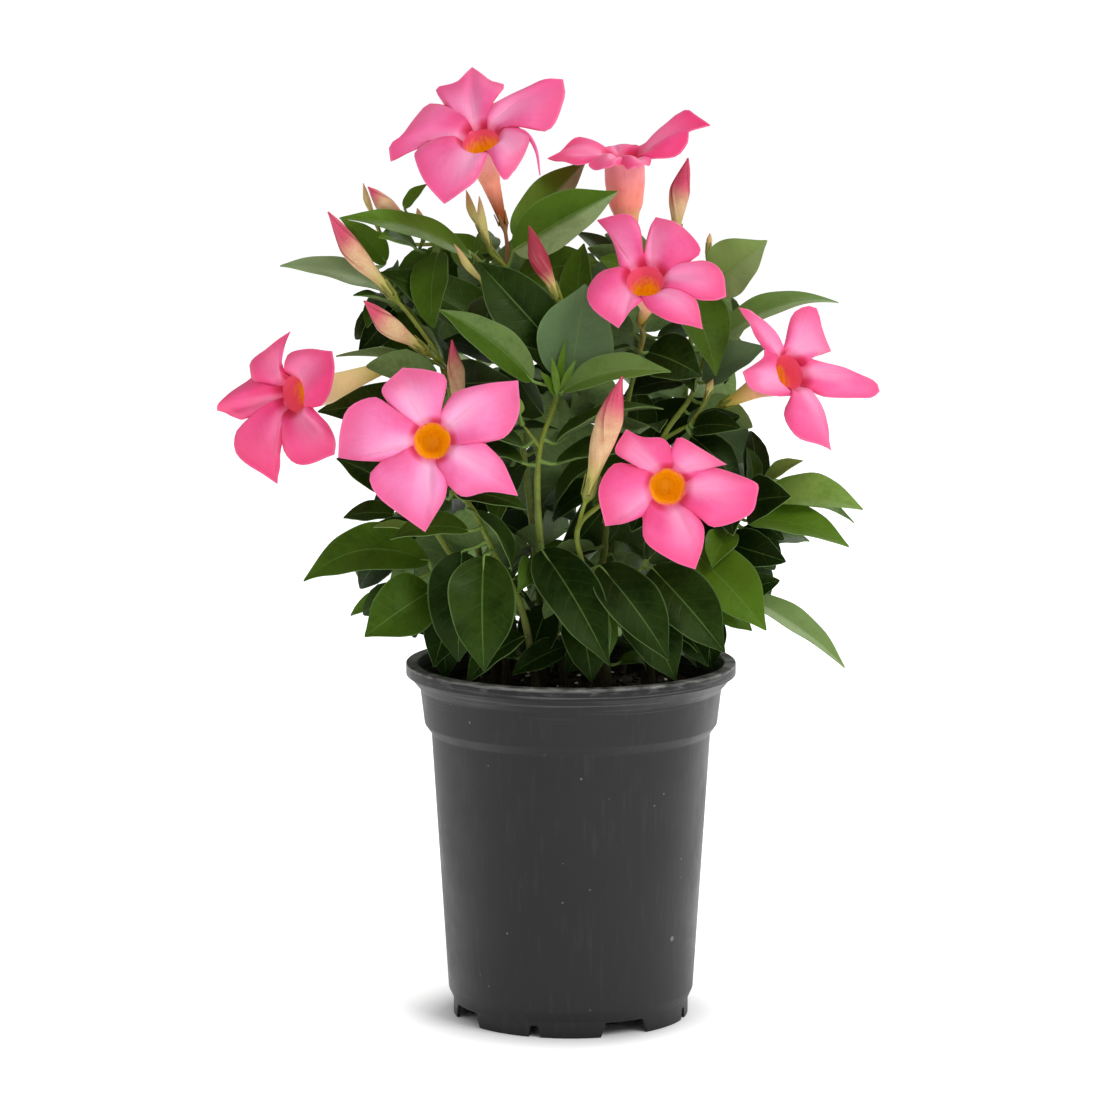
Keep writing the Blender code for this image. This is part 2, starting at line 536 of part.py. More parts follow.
def radial_box(angle, width, height, top_share):
    """Cutter through the foot, narrower at its top, pointing out at the angle from the front."""
    out = Vector((math.sin(angle), -math.cos(angle), 0))
    side = Vector((math.cos(angle), math.sin(angle), 0))
    rings = []
    for reach in (NOTCH_NEAR, NOTCH_FAR):
        corners = [(-width / 2, -NOTCH_BELOW), (width / 2, -NOTCH_BELOW),
                   (width / 2 * top_share, height), (-width / 2 * top_share, height)]
        rings.append([out * reach + side * x + Vector((0, 0, z)) for x, z in corners])
    verts, faces = loft(rings)
    return add_object("notch", verts, faces)


def make_pot():
    """Pot wall, lip, collar, notched foot and dished floor, in one moulded piece."""
    outer = [(RIM_RADIUS - LIP_EDGE, RIM_HEIGHT), (RIM_RADIUS, RIM_HEIGHT - LIP_EDGE),
             (RIM_RADIUS, RIM_HEIGHT - LIP_DROP), (RIM_RADIUS - LIP_UNDERSIDE, RIM_HEIGHT - LIP_DROP),
             (COLLAR_RADIUS, COLLAR_TOP_HEIGHT), (COLLAR_FOOT_RADIUS, COLLAR_FOOT_HEIGHT),
             (BODY_TOP_RADIUS, BODY_TOP_HEIGHT), (BODY_FOOT_RADIUS, BODY_FOOT_HEIGHT),
             (FOOT_RADIUS, FOOT_TOP_HEIGHT), (FOOT_RADIUS, 0.0)]
    under = [(FOOT_RADIUS - WALL, 0.0), (FOOT_RADIUS - WALL, TRAY_HEIGHT),
             (TRAY_INNER_RADIUS, TRAY_HEIGHT), (PAD_RADIUS, 0.0), (0.0, 0.0)]
    profile = [(0.0, WALL)] + inner_profile(0.0) + outer + under
    pot = turned("pot", profile, POT_SIDES)
    cutters = []
    for quarter in range(4):
        wide = FIRST_WIDE_NOTCH + quarter * math.pi / 2
        small = FIRST_SMALL_NOTCH + quarter * math.pi / 2
        cutters.append(radial_box(wide, WIDE_NOTCH_WIDTH, NOTCH_HEIGHT, WIDE_NOTCH_TOP_SHARE))
        cutters.append(radial_box(small, SMALL_NOTCH_WIDTH, SMALL_NOTCH_HEIGHT,
                                  SMALL_NOTCH_TOP_SHARE))
        middle = Vector((math.sin(wide), -math.cos(wide), 0)) * DRAIN_PLACE
        ends = [middle + Vector((0, 0, z)) for z in (DRAIN_LOW, DRAIN_HIGH)]
        cutters.append(add_object("drain", *tube(ends, [DRAIN_RADIUS] * 2, DRAIN_SIDES)))
    combine(pot, cutters, "DIFFERENCE", "EXACT")
    give_material(pot, "black_plastic", POT_LOOK)
    pot.data.shade_smooth()
    pot.data.set_sharp_from_angle(angle=POT_CREASE)
    return pot


def inner_profile(gap):
    """The pot's inside from the floor up to the lip, drawn in by a gap."""
    rise = WALL + gap
    return [(PAD_RADIUS - DISH_SLOPE_INSET - gap, rise),
            (TRAY_INNER_RADIUS - DISH_SLOPE_INSET - gap, TRAY_HEIGHT + rise),
            (FOOT_RADIUS - WALL - gap, TRAY_HEIGHT + rise),
            (BODY_FOOT_RADIUS - WALL - gap, BODY_FOOT_HEIGHT + rise),
            (BODY_TOP_RADIUS - WALL - gap, BODY_TOP_HEIGHT),
            (COLLAR_FOOT_RADIUS - WALL - gap, COLLAR_FOOT_HEIGHT),
            (COLLAR_RADIUS - WALL - gap, COLLAR_TOP_HEIGHT),
            (RIM_INNER_RADIUS - gap, RIM_HEIGHT)]


def soil_rise(x, y):
    """Height of the soil's small bumps."""
    coarse = math.sin(COARSE_WAVE * x) * math.cos(COARSE_WAVE * y)
    fine = math.sin(FINE_WAVE * y + COARSE_WAVE * x)
    return SOIL_BUMP * (coarse + FINE_WAVE_SHARE * fine)


def make_soil(roots):
    """Plug of potting mix with a bumpy top and a plain hole for each stem."""
    sides = inner_profile(SEAT_GAP)[:-2]
    edge_radius = COLLAR_RADIUS - WALL - SEAT_GAP - SOIL_EDGE_GAP
    turns = [2 * math.pi * k / POT_SIDES for k in range(POT_SIDES)]
    rings = [[Vector((r * math.cos(a), r * math.sin(a), z)) for a in turns] for r, z in sides]
    for share in (1.0, 0.5):
        ring = []
        for a in turns:
            x, y = edge_radius * share * math.cos(a), edge_radius * share * math.sin(a)
            ring.append(Vector((x, y, SOIL_HEIGHT + soil_rise(x, y))))
        rings.append(ring)
    ends = (Vector((0, 0, WALL + SEAT_GAP)), Vector((0, 0, SOIL_HEIGHT)))
    soil = add_object("soil", *loft(rings, ends))
    holes = []
    for x, y in roots:
        foot = Vector((x * MM, y * MM, SOIL_HEIGHT - HOLE_DEPTH - SEAT_GAP))
        top = Vector((x * MM, y * MM, SOIL_HEIGHT + HOLE_ABOVE))
        holes.append(add_object("hole", *tube([foot, top], [HOLE_RADIUS] * 2, HOLE_SIDES)))
    combine(soil, holes, "DIFFERENCE", "EXACT")
    give_material(soil, "potting_mix", SOIL_LOOK)
    return soil


def blade(root, foot, tip, half_width, normal, arch, thick, stations):
    """Closed leaf blade: a folded, arched strip that runs to a point at the root and the tip.

    stations are (share of the length, share of the half width). The same triangles lie on the
    upper and the lower face, so the two never cross."""
    chord = tip - foot
    normal = (normal - chord * (normal.dot(chord) / chord.length_squared)).normalized()
    side = chord.cross(normal).normalized()
    top = [root]
    for share, width in stations:
        middle = foot + chord * share + normal * (4 * share * (1 - share) * arch)
        half = half_width * width
        lift = normal * (LEAF_FOLD * half)
        top += [middle - side * half + lift, middle, middle + side * half + lift]
    top.append(tip)
    last = len(top) - 1
    rows = len(stations)
    sheet = [(0, 2, 1), (0, 3, 2)]
    for row in range(rows - 1):
        a = row * 3 + 1
        sheet += [(a, a + 1, a + 4), (a, a + 4, a + 3), (a + 1, a + 2, a + 4), (a + 2, a + 5, a + 4)]
    a = last - 3
    sheet += [(a, a + 1, last), (a + 1, a + 2, last)]
    edge = [0] + [3 * k + 1 for k in range(rows)] + [last]
    edge += [3 * k + 3 for k in reversed(range(rows))]
    count = len(top)
    verts = [p + normal * (thick / 2) for p in top] + [p - normal * (thick / 2) for p in top]
    faces = list(sheet) + [tuple(count + i for i in reversed(f)) for f in sheet]
    for k, here in enumerate(edge):
        there = edge[(k + 1) % len(edge)]
        faces.append((here, there, count + there))
        faces.append((here, count + there, count + here))
    return verts, faces


def tree_of(verts, faces):
    """Search tree of a body, for finding what touches it."""
    return BVHTree.FromPolygons([tuple(v) for v in verts], faces)


class Plant:
    """The growing parts of the object: which piece lies where, and each stem's bodies."""

    def __init__(self):
        self.bodies = {stem.name: [] for stem in STEMS}
        self.wood = {stem.name: [] for stem in STEMS}
        self.trees = []
        self.watched = []

    def add_wood(self, stem, points, radii, leafy):
        body = tube(points, radii, STEM_SIDES if leafy else STALK_SIDES)
        self.bodies[stem].append(body)
        self.trees.append((stem, "wood", tree_of(*body)))
        if leafy:
            for here, there in zip(points, points[1:]):
                self.wood[stem] += [here.lerp(there, share) for share in (0.0, 0.25, 0.5, 0.75)]

    def is_clear(self, stem, whole, beyond_petiole):
        """Whether a leaf would lie clear of all pieces but the wood that carries it."""
        for owner, kind, tree in self.trees:
            if owner != stem and whole.overlap(tree):
                return False
            if owner == stem and kind == "leaf" and beyond_petiole.overlap(tree):
                return False
        return True

    def try_leaf(self, stem, root, foot, tip, half_width, normal, arch, stations, seen_leaf):
        """Add the leaf if it lies clear, and say whether it did."""
        past_tip = tip + (tip - foot).normalized() * LEAF_CLEARANCE
        whole, beyond_petiole = [
            tree_of(*blade(start, foot, past_tip, half_width + LEAF_CLEARANCE, normal, arch,
                           BLADE + 2 * LEAF_CLEARANCE, stations))
            for start in (root, root.lerp(foot, PETIOLE_SHARE))]
        if not self.is_clear(stem, whole, beyond_petiole):
            return False
        if not seen_leaf:
            for place in self.watched:
                way = place - VIEW_POINT
                if whole.ray_cast(VIEW_POINT, way.normalized(), way.length)[0]:
                    return False
        body = blade(root, foot, tip, half_width, normal, arch, BLADE, stations)
        self.bodies[stem].append(body)
        self.trees.append((stem, "leaf", tree_of(*body)))
        return True


def straight_end(points, toward):
    """The path with a last short stretch that runs straight toward a direction."""
    end = points[-1]
    return points[:-1] + [end - toward * STALK_STRAIGHT, end]


def grow_wood(plant):
    """Main stems from the soil and their side shoots."""
    for stem in STEMS:
        x, y = stem.root[0] * MM, stem.root[1] * MM
        foot = Vector((x, y, SOIL_HEIGHT - HOLE_DEPTH))
        collar = Vector((x, y, SOIL_HEIGHT + STEM_COLLAR))
        points = [foot, collar] + [seen(s) for s in stem.path]
        last = len(points) - 1
        radii = [STEM_RADIUS + (SHOOT_RADIUS - STEM_RADIUS) * k / last for k in range(last + 1)]
        plant.add_wood(stem.name, points, radii, True)
        for shoot in stem.shoots:
            points = [seen(s) for s in shoot]
            last = len(points) - 1
            shares = [SHOOT_FOOT_SHARE + (SHOOT_TIP_SHARE - SHOOT_FOOT_SHARE) * k / last
                      for k in range(last + 1)]
            radii = [SHOOT_RADIUS * share for share in shares]
            plant.add_wood(stem.name, points, radii, True)


def grow_stalk(plant, stem, spots, toward, end_radius):
    """Flower stalk that swells into its calyx and ends flat, facing toward."""
    points = straight_end([seen(s) for s in spots], toward)
    radii = [STALK_RADIUS] * (len(points) - 2) + [end_radius, end_radius * CALYX_END_SHARE]
    plant.add_wood(stem, points, radii, False)


def petal_outline(bloom):
    """World places of the petals' outline, clockwise from its front, its middle and its facing."""
    middle = seen(bloom.heart)
    facing = Vector(bloom.facing).normalized()
    if abs(facing.dot((middle - VIEW_POINT).normalized())) < EDGE_ON:
        places = [seen(Spot(a, d, bloom.heart.depth + rise)) for a, d, rise in bloom.rim]
    else:
        places = [seen_on_plane(a, d, middle + facing * (rise * MM), facing)
                  for a, d, rise in bloom.rim]
    return places, middle, facing


def in_order(flat, facing):
    """The outline's places on the flat, turned apart where one would fall behind the last."""
    start = flat[0].normalized()
    cross = facing.cross(start)
    turns = [0.0]
    for place in flat[1:]:
        turn = -math.atan2(place.dot(cross), place.dot(start))
        turns.append(turns[-1] + (turn - turns[-1] + math.pi) % (2 * math.pi) - math.pi)
    count = len(turns)
    for _ in range(UNTANGLE_PASSES):
        for k in range(count):
            after = turns[(k + 1) % count] + (2 * math.pi if k + 1 == count else 0)
            push = max(0.0, LEAST_TURN - (after - turns[k])) / 2
            turns[k] -= push
            turns[(k + 1) % count] += push
    return [(start * math.cos(turn) - cross * math.sin(turn)) * place.length
            for turn, place in zip(turns, flat)]


def make_bloom(plant, bloom):
    """Corolla in one piece: petals, open funnel and narrow tube down to the calyx."""
    outline, middle, facing = petal_outline(bloom)
    end = seen(bloom.stalk[-1])
    bend = middle - facing * FUNNEL_LENGTH
    tube_way = (end - bend).normalized()
    start = end - tube_way * SEAT_GAP
    rises = [(p - middle).dot(facing) for p in outline]
    flat = in_order([p - middle - facing * rise for p, rise in zip(outline, rises)], facing)
    outline = [middle + f + facing * rise for f, rise in zip(flat, rises)]
    unit = [f.normalized() for f in flat]
    start_way = unit[0]
    cross_way = facing.cross(start_way)
    turn = -2 * math.pi / len(unit)
    even = [start_way * math.cos(turn * k) + cross_way * math.sin(turn * k)
            for k in range(len(unit))]

    def ring_at(centre, radius, ways=even):
        return [centre + way * radius for way in ways]

    swells = [min(1.0, (f.length - THROAT_RADIUS) / FULL_SWELL_REACH) * PETAL_SWELL for f in flat]
    half_way_out = [middle + (u * THROAT_RADIUS + f) / 2 + facing * swell
                    for u, f, swell in zip(unit, flat, swells)]
    thin = facing * PETAL
    half_down = middle - facing * (FUNNEL_LENGTH / 2)
    inside = [ring_at(middle, THROAT_RADIUS, unit), half_way_out, outline]
    outside = [[p - thin for p in outline], [p - thin for p in half_way_out],
               ring_at(middle - facing * THROAT_BACK, THROAT_RADIUS + THROAT_LIP, unit),
               ring_at(half_down - thin, bloom.funnel[0] * MM + PETAL),
               ring_at(bend, bloom.funnel[1] * MM)]
    across = [(e - tube_way * e.dot(tube_way)).normalized() for e in even]
    outside.append([start + a * TUBE_END_RADIUS for a in across])
    floor = middle - facing * FUNNEL_FLOOR
    body = loft(inside + outside, (floor, start), PETAL_BACK_BANDS)
    obj = add_object(bloom.name, *body)
    plant.trees.append((bloom.name, "bloom", tree_of(*body)))
    plant.watched += [middle] + [middle.lerp(p, PETAL_CHECK) for p in outline]
    give_material(obj, "pink_petal", PETAL_LOOK)
    obj.data.shade_smooth()
    obj.data.set_sharp_from_angle(angle=PETAL_CREASE)
    grow_stalk(plant, bloom.stem, bloom.stalk, (bend - end).normalized(), CALYX_RADIUS)


def make_bud(plant, bud):
    """Rolled corolla: a spindle that narrows to its foot and to a point."""
    foot, tip = seen(bud.foot), seen(bud.tip)
    way = (tip - foot).normalized()
    radius = bud.wide / 2 * VIEW_PIXEL * (foot - VIEW_POINT).length
    foot = foot + way * SEAT_GAP
    points = [foot.lerp(tip, share) for share, _ in BUD_PROFILE]
    sides = FULL_BUD_SIDES if bud.wide > FULL_BUD_PIXELS else YOUNG_BUD_SIDES
    rings = []
    side = way.orthogonal().normalized()
    cross = way.cross(side)
    for here, (share, size) in zip(points, BUD_PROFILE):
        ring = []
        for k in range(sides):
            a = 2 * math.pi * k / sides + share * BUD_TWIST
            ring.append(here + (side * math.cos(a) + cross * math.sin(a)) * (radius * size))
        rings.append(ring)
    body = loft(rings, (None, tip))
    obj = add_object(bud.name, *body)
    plant.trees.append((bud.name, "bud", tree_of(*body)))
    plant.watched += [foot.lerp(tip, share) for share in BUD_CHECKS]
    give_material(obj, "rolled_petal", BUD_LOOK)
    obj.data.shade_smooth()
    calyx = max(radius * BUD_CALYX_SHARE, BUD_CALYX_LEAST)
    grow_stalk(plant, bud.stem, bud.stalk + [bud.foot], way, calyx)


def grow_seen_leaves(plant):
    """Leaves whose place and size can be read, each bent clear of what it would cross."""
    for leaf in LEAVES:
        wood = plant.wood[leaf.stem]
        placed = False
        for shift in LEAF_SHIFTS:
            for more_turn in LEAF_TURNS:
                foot_depth = leaf.foot.depth + shift * LEAF_FOOT_SHIFT_SHARE
                foot = seen(leaf.foot._replace(depth=foot_depth))
                tip = seen(leaf.tip._replace(depth=leaf.tip.depth + shift))
                root = min(wood, key=lambda p: (p - foot).length)
                chord = (tip - foot).normalized()
                toward = (VIEW_POINT - foot).normalized()
                facing = (toward - chord * toward.dot(chord)).normalized()
                upper = chord.cross(facing)
                if upper.z < 0:
                    upper = -upper
                turn = math.radians(leaf.turn + more_turn)
                normal = facing * math.cos(turn) + upper * math.sin(turn)
                distance = (foot - VIEW_POINT).length
                half = leaf.wide / 2 * VIEW_PIXEL * distance / math.cos(math.radians(leaf.turn))
                placed = plant.try_leaf(leaf.stem, root, foot, tip, half, normal, leaf.arch * MM,
                                        SEEN_STATIONS, True)
                if placed:
                    break
            if placed:
                break
        if placed:
            plant.watched += [foot.lerp(tip, s) + normal * leaf.arch * MM for s in LEAF_CHECKS]


def inside_edge(place):
    """Whether a world place is seen inside the edge of the dense foliage."""
    x, y = pixel_of(place)
    inside = False
    for k, (x1, y1) in enumerate(FOLIAGE_EDGE):
        x2, y2 = FOLIAGE_EDGE[k - 1]
        if (y1 > y) != (y2 > y) and x < (x2 - x1) * (y - y1) / (y2 - y1) + x1:
            inside = not inside
    return inside


def grow_hidden_leaves(plant):
    """Opposite pairs, each turned a quarter from the last, along the stems that are hidden.

    Each leaf has draws of its own, so one leaf's place doesn't change the next one's."""
    for row, stem in enumerate(STEMS):
        wood = plant.wood[stem.name]
        walked = 0.0
        pair = row * PAIR_START
        for before, here in zip(wood, wood[1:]):
            walked += (here - before).length
            if here.z < SOIL_HEIGHT + BARE_HEIGHT or walked < PAIR_SPACING:
                continue
            walked = 0.0
            pair += math.pi / 2
            for opposite in (0, math.pi):
                draw = random.Random(int(LEAF_SEED * (pair + opposite)))
                for attempt in range(GROWN_TRIES):
                    bearing = pair + opposite + draw.uniform(*GROWN_SWAY)
                    low = here.z < SOIL_HEIGHT + LOW_HEIGHT
                    pitch = math.radians(draw.uniform(*(LOW_PITCHES if low else HIGH_PITCHES)))
                    roll = math.radians(draw.uniform(*GROWN_ROLLS))
                    shorter = 1 - SHORTER_EACH_TRY * attempt
                    length = GROWN_LEAF_LENGTH * draw.uniform(*GROWN_LENGTHS) * shorter
                    out = Vector((math.cos(bearing) * math.cos(pitch),
                                  math.sin(bearing) * math.cos(pitch), math.sin(pitch)))
                    foot = here + out * GROWN_PETIOLE
                    tip = foot + out * length
                    normal = Vector((0, 0, 1)) - out * out.z
                    normal = Quaternion(out, roll) @ normal
                    half = GROWN_LEAF_HALF_WIDTH * length / GROWN_LEAF_LENGTH
                    side = out.cross(normal).normalized() * half
                    mid = foot.lerp(tip, WIDEST_SHARE)
                    if not all(inside_edge(p) for p in (tip, mid + side, mid - side)):
                        continue
                    if plant.try_leaf(stem.name, here, foot, tip, half, normal, GROWN_ARCH,
                                      GROWN_STATIONS, False):
                        break


def join_stems(plant):
    """One body for each leafy stem, from its wood, stalks and leaves."""
    for stem in STEMS:
        pieces = [add_object("leafy_stem_" + stem.name, *body) for body in plant.bodies[stem.name]]
        base = pieces[0]
        combine(base, pieces[1:], "UNION", "MANIFOLD")
        give_material(base, "leaf_green", LEAF_LOOK)


def main():
    for old in list(bpy.data.objects):
        bpy.data.objects.remove(old)
    plant = Plant()
    pot = make_pot()
    soil = make_soil([stem.root for stem in STEMS])
    for obj in (pot, soil):
        verts = [v.co.copy() for v in obj.data.vertices]
        faces = [tuple(f.vertices) for f in obj.data.polygons]
        plant.trees.append((obj.name, "holder", tree_of(verts, faces)))
    grow_wood(plant)
    for bloom in BLOOMS:
        make_bloom(plant, bloom)
    for bud in BUDS:
        make_bud(plant, bud)
    grow_seen_leaves(plant)
    grow_hidden_leaves(plant)
    join_stems(plant)


main()
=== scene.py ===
"""Looks of a potted dipladenia: black nursery pot, soil, leafy stems, pink blooms and buds.

Lengths are in metres and Z is up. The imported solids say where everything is."""

import math
import random
from collections import namedtuple

import bpy
import numpy as np
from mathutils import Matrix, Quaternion, Vector
from mathutils.bvhtree import BVHTree


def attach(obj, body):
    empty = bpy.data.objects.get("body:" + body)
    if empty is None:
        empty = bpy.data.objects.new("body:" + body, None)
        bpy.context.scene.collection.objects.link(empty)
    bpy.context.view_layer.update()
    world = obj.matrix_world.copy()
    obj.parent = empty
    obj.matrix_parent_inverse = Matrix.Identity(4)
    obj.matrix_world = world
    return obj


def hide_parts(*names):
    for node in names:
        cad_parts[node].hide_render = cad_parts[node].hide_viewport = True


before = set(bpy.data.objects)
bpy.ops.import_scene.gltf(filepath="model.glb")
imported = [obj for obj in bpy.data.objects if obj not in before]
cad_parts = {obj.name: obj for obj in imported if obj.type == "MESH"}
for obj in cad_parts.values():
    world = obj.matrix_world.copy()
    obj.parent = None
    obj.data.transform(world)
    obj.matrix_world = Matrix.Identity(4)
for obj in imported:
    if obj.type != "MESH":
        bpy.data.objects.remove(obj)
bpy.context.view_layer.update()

# The viewing place
# A long lens two metres in front of the plant looks a little down on it. Spots on the plant are
# given as seen from there: pixel column, pixel row and millimetres behind the pot's axis.
MM = 0.001
VIEW_POINT = Vector((-0.0089, -1.997, 0.4924))
VIEW_TILT = math.radians(8.34)
VIEW_PIXEL = 1 / 4768.0
VIEW_MIDDLE = 550.0
VIEW_AHEAD = Vector((0, math.cos(VIEW_TILT), -math.sin(VIEW_TILT)))
VIEW_UP = Vector((0, math.sin(VIEW_TILT), math.cos(VIEW_TILT)))
VIEW_RIGHT = Vector((1, 0, 0))
SENSOR_WIDTH = 36.0


def view_ray(across, down):
    """Direction in which the pixel is seen."""
    return (VIEW_AHEAD + VIEW_RIGHT * ((across - VIEW_MIDDLE) * VIEW_PIXEL)
            + VIEW_UP * ((VIEW_MIDDLE - down) * VIEW_PIXEL))


def seen(spot):
    """World place of a spot: its pixel column, its pixel row and its depth in millimetres."""
    across, down, depth = spot
    way = view_ray(across, down)
    return VIEW_POINT + way * ((depth * MM - VIEW_POINT.y) / way.y)


camera = bpy.data.objects.new("camera", bpy.data.cameras.new("camera"))
camera.data.sensor_width = SENSOR_WIDTH
camera.data.lens = SENSOR_WIDTH / (2 * VIEW_MIDDLE * VIEW_PIXEL)
camera.location = VIEW_POINT
camera.rotation_euler = (math.pi / 2 - VIEW_TILT, 0, 0)
bpy.context.scene.collection.objects.link(camera)
bpy.context.scene.camera = camera

# The pot
# A thin black plastic nursery pot, moulded in one piece: a flat lip over a collar, a tapering wall
# with a small step, and a foot cut by four wide and four small notches, with four drain holes.
RIM_HEIGHT = 0.152
RIM_RADIUS = 0.070
RIM_INNER_RADIUS = 0.0651
LIP_DROP = 0.005
LIP_UNDERSIDE = 0.0010
COLLAR_TOP_HEIGHT = 0.141
COLLAR_RADIUS = 0.0640
COLLAR_FOOT_HEIGHT = 0.126
COLLAR_FOOT_RADIUS = 0.0622
BODY_TOP_HEIGHT = 0.122
BODY_TOP_RADIUS = 0.0593
BODY_FOOT_HEIGHT = 0.0115
BODY_FOOT_RADIUS = 0.0523
FOOT_TOP_HEIGHT = 0.0070
FOOT_RADIUS = 0.0502
WALL = 0.0014
TRAY_HEIGHT = 0.0070
TRAY_INNER_RADIUS = 0.0340
PAD_RADIUS = 0.0300
DISH_SLOPE_INSET = 0.0010
NOTCH_HEIGHT = 0.0062
WIDE_NOTCH_WIDTH = 0.0220
WIDE_NOTCH_TOP_SHARE = 0.8
SMALL_NOTCH_WIDTH = 0.0053
SMALL_NOTCH_HEIGHT = 0.0048
SMALL_NOTCH_TOP_SHARE = 0.6
FIRST_WIDE_NOTCH = math.radians(-63)
FIRST_SMALL_NOTCH = math.radians(-18)
DRAIN_RADIUS = 0.0042
DRAIN_PLACE = 0.0420
DRAIN_LOW = 0.004
DRAIN_HIGH = 0.012
DRAIN_SIDES = 24
POT_TURNS = 288
ROUNDING = 0.0005
ROUNDING_STEPS = 4
POT_CREASE = math.radians(40)


def quads_of(rows, cols, wrapped=False):
    """Corners of the quads between neighbouring points of a grid that is stored row by row.

    Wrapped, the last point of a row is also next to its first."""
    row = np.arange(rows - 1)[:, None] * cols
    here = np.arange(cols if wrapped else cols - 1)[None, :]
    there = (here + 1) % cols
    corners = [row + here, row + there, row + cols + there, row + cols + here]
    return np.stack(corners, -1).reshape(-1, 4)


def ring_body(grid, ends=None):
    """Closed body through rings of points, each end drawn to its ring's middle or a given point."""
    rows, cols = grid.shape[:2]
    first, last = (grid[0].mean(0), grid[-1].mean(0)) if ends is None else ends
    points = np.vstack([grid.reshape(-1, 3), first, last])
    here = np.arange(cols)
    there = (here + 1) % cols
    low = np.stack([there, here, np.full(cols, rows * cols)], -1)
    high = np.stack([here, there, np.full(cols, cols + 1)], -1) + (rows - 1) * cols
    return points, quads_of(rows, cols, True), np.vstack([low, high])


def sheet_body(top, bottom):
    """Closed thin body between two grids of points, joined round their border."""
    rows, cols = top.shape[:2]
    count = rows * cols
    faces = quads_of(rows, cols)
    order = np.arange(count).reshape(rows, cols)
    border = np.concatenate([order[0, :-1], order[:-1, -1], order[-1, :0:-1], order[:0:-1, 0]])
    after = np.roll(border, -1)
    walls = np.stack([after, border, border + count, after + count], -1)
    points = np.vstack([top.reshape(-1, 3), bottom.reshape(-1, 3)])
    back = faces[:, [0, 3, 2, 1]] + count
    return points, np.vstack([faces, back, walls]), np.empty((0, 3), int)


class Pile:
    """Closed bodies gathered into one piece, with named values for each point."""

    def __init__(self):
        self.points, self.quads, self.triangles, self.marks = [], [], [], {}
        self.count = 0

    def add(self, body, **marks):
        """Add a body with its faces turned outward: those whose signed volume is negative flip."""
        points, quads, triangles = body
        corners = points[quads]
        volume = np.einsum("ij,ij->", corners[:, 0], np.cross(corners[:, 1], corners[:, 2]))
        volume += np.einsum("ij,ij->", corners[:, 0], np.cross(corners[:, 2], corners[:, 3]))
        if len(triangles):
            a, b, c = points[triangles].transpose(1, 0, 2)
            volume += np.einsum("ij,ij->", a, np.cross(b, c))
        if volume < 0:
            quads, triangles = quads[:, ::-1], triangles[:, ::-1]
        self.points.append(points)
        self.quads.append(quads + self.count)
        self.triangles.append(triangles + self.count)
        for name, value in marks.items():
            value = np.broadcast_to(np.asarray(value, float), (len(points),))
            self.marks.setdefault(name, []).append(value)
        self.count += len(points)

    def make(self, name, material, crease=math.pi):
        """The piece as a Blender object, smooth but for edges bent more than the crease angle."""
        points, quads, triangles = (np.vstack(part) for part in
                                    (self.points, self.quads, self.triangles))
        mesh = bpy.data.meshes.new(name)
        mesh.vertices.add(len(points))
        mesh.vertices.foreach_set("co", points.ravel())
        corners = np.concatenate([quads.ravel(), triangles.ravel()])
        mesh.loops.add(len(corners))
        mesh.loops.foreach_set("vertex_index", corners)
        starts = np.concatenate([np.arange(len(quads)) * 4,
                                 len(quads) * 4 + np.arange(len(triangles)) * 3])
        mesh.polygons.add(len(starts))
        mesh.polygons.foreach_set("loop_start", starts)
        mesh.update(calc_edges=True)
        for mark, values in self.marks.items():
            mesh.attributes.new(mark, "FLOAT", "POINT").data.foreach_set(
                "value", np.concatenate(values))
        mesh.shade_smooth()
        mesh.set_sharp_from_angle(angle=crease)
        mesh.materials.append(material)
        piece = bpy.data.objects.new(name, mesh)
        bpy.context.scene.collection.objects.link(piece)
        return piece


def single(name, body, material, crease=math.pi, **marks):
    """A piece of one body."""
    pile = Pile()
    pile.add(body, **marks)
    return pile.make(name, material, crease)


def stands_for(piece, cad_node):
    """The piece rides on the one body and shows in place of the CAD node, which is hidden."""
    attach(piece, "root")
    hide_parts(cad_node)


def turned_body(profile, turns, lift=None):
    """Closed body of a profile of (radius, height) pairs turned round Z: x = r sin a, y = -r cos a.

    The profile begins and ends on the axis. lift gives each point's height from its angle."""
    radius, height = profile[1:-1, :1], profile[1:-1, 1:]
    height = np.broadcast_to(height, (len(height), len(turns)))
    if lift is not None:
        height = lift(radius, height, turns[None, :])
    grid = np.stack([radius * np.sin(turns), -radius * np.cos(turns), height], -1)
    ends = [np.array([[0.0, 0.0, profile[k, 1]]]) for k in (0, -1)]
    return ring_body(grid, ends)


def rounded(corners, reach, steps):
    """The line through the corners with each inner corner turned into a short curve.

    Between a point before the corner and one after it, at most reach away, the curve is
    (1 - t)^2 before + 2 t (1 - t) corner + t^2 after."""
    corners = np.asarray(corners, float)
    share = np.linspace(0, 1, steps)[:, None]
    line = [corners[:1]]
    for before, corner, after in zip(corners, corners[1:], corners[2:]):
        ends = []
        for end in (before, after):
            length = np.linalg.norm(end - corner)
            ends.append(corner + (end - corner) * min(reach / length, 0.4))
        line.append((1 - share) ** 2 * ends[0] + 2 * share * (1 - share) * corner
                    + share ** 2 * ends[1])
    return np.vstack(line + [corners[-1:]])


def notch_height(turns):
    """Height of the foot's lower edge at each angle: flat notches with sloping sides."""
    height = np.zeros_like(turns)
    for first, width, tall, top_share in (
            (FIRST_WIDE_NOTCH, WIDE_NOTCH_WIDTH, NOTCH_HEIGHT, WIDE_NOTCH_TOP_SHARE),
            (FIRST_SMALL_NOTCH, SMALL_NOTCH_WIDTH, SMALL_NOTCH_HEIGHT, SMALL_NOTCH_TOP_SHARE)):
        away = np.abs((turns - first + math.pi / 4) % (math.pi / 2) - math.pi / 4) * FOOT_RADIUS
        slope = (width / 2 - away) / (width / 2 * (1 - top_share))
        height = np.maximum(height, tall * np.clip(slope, 0, 1))
    return height


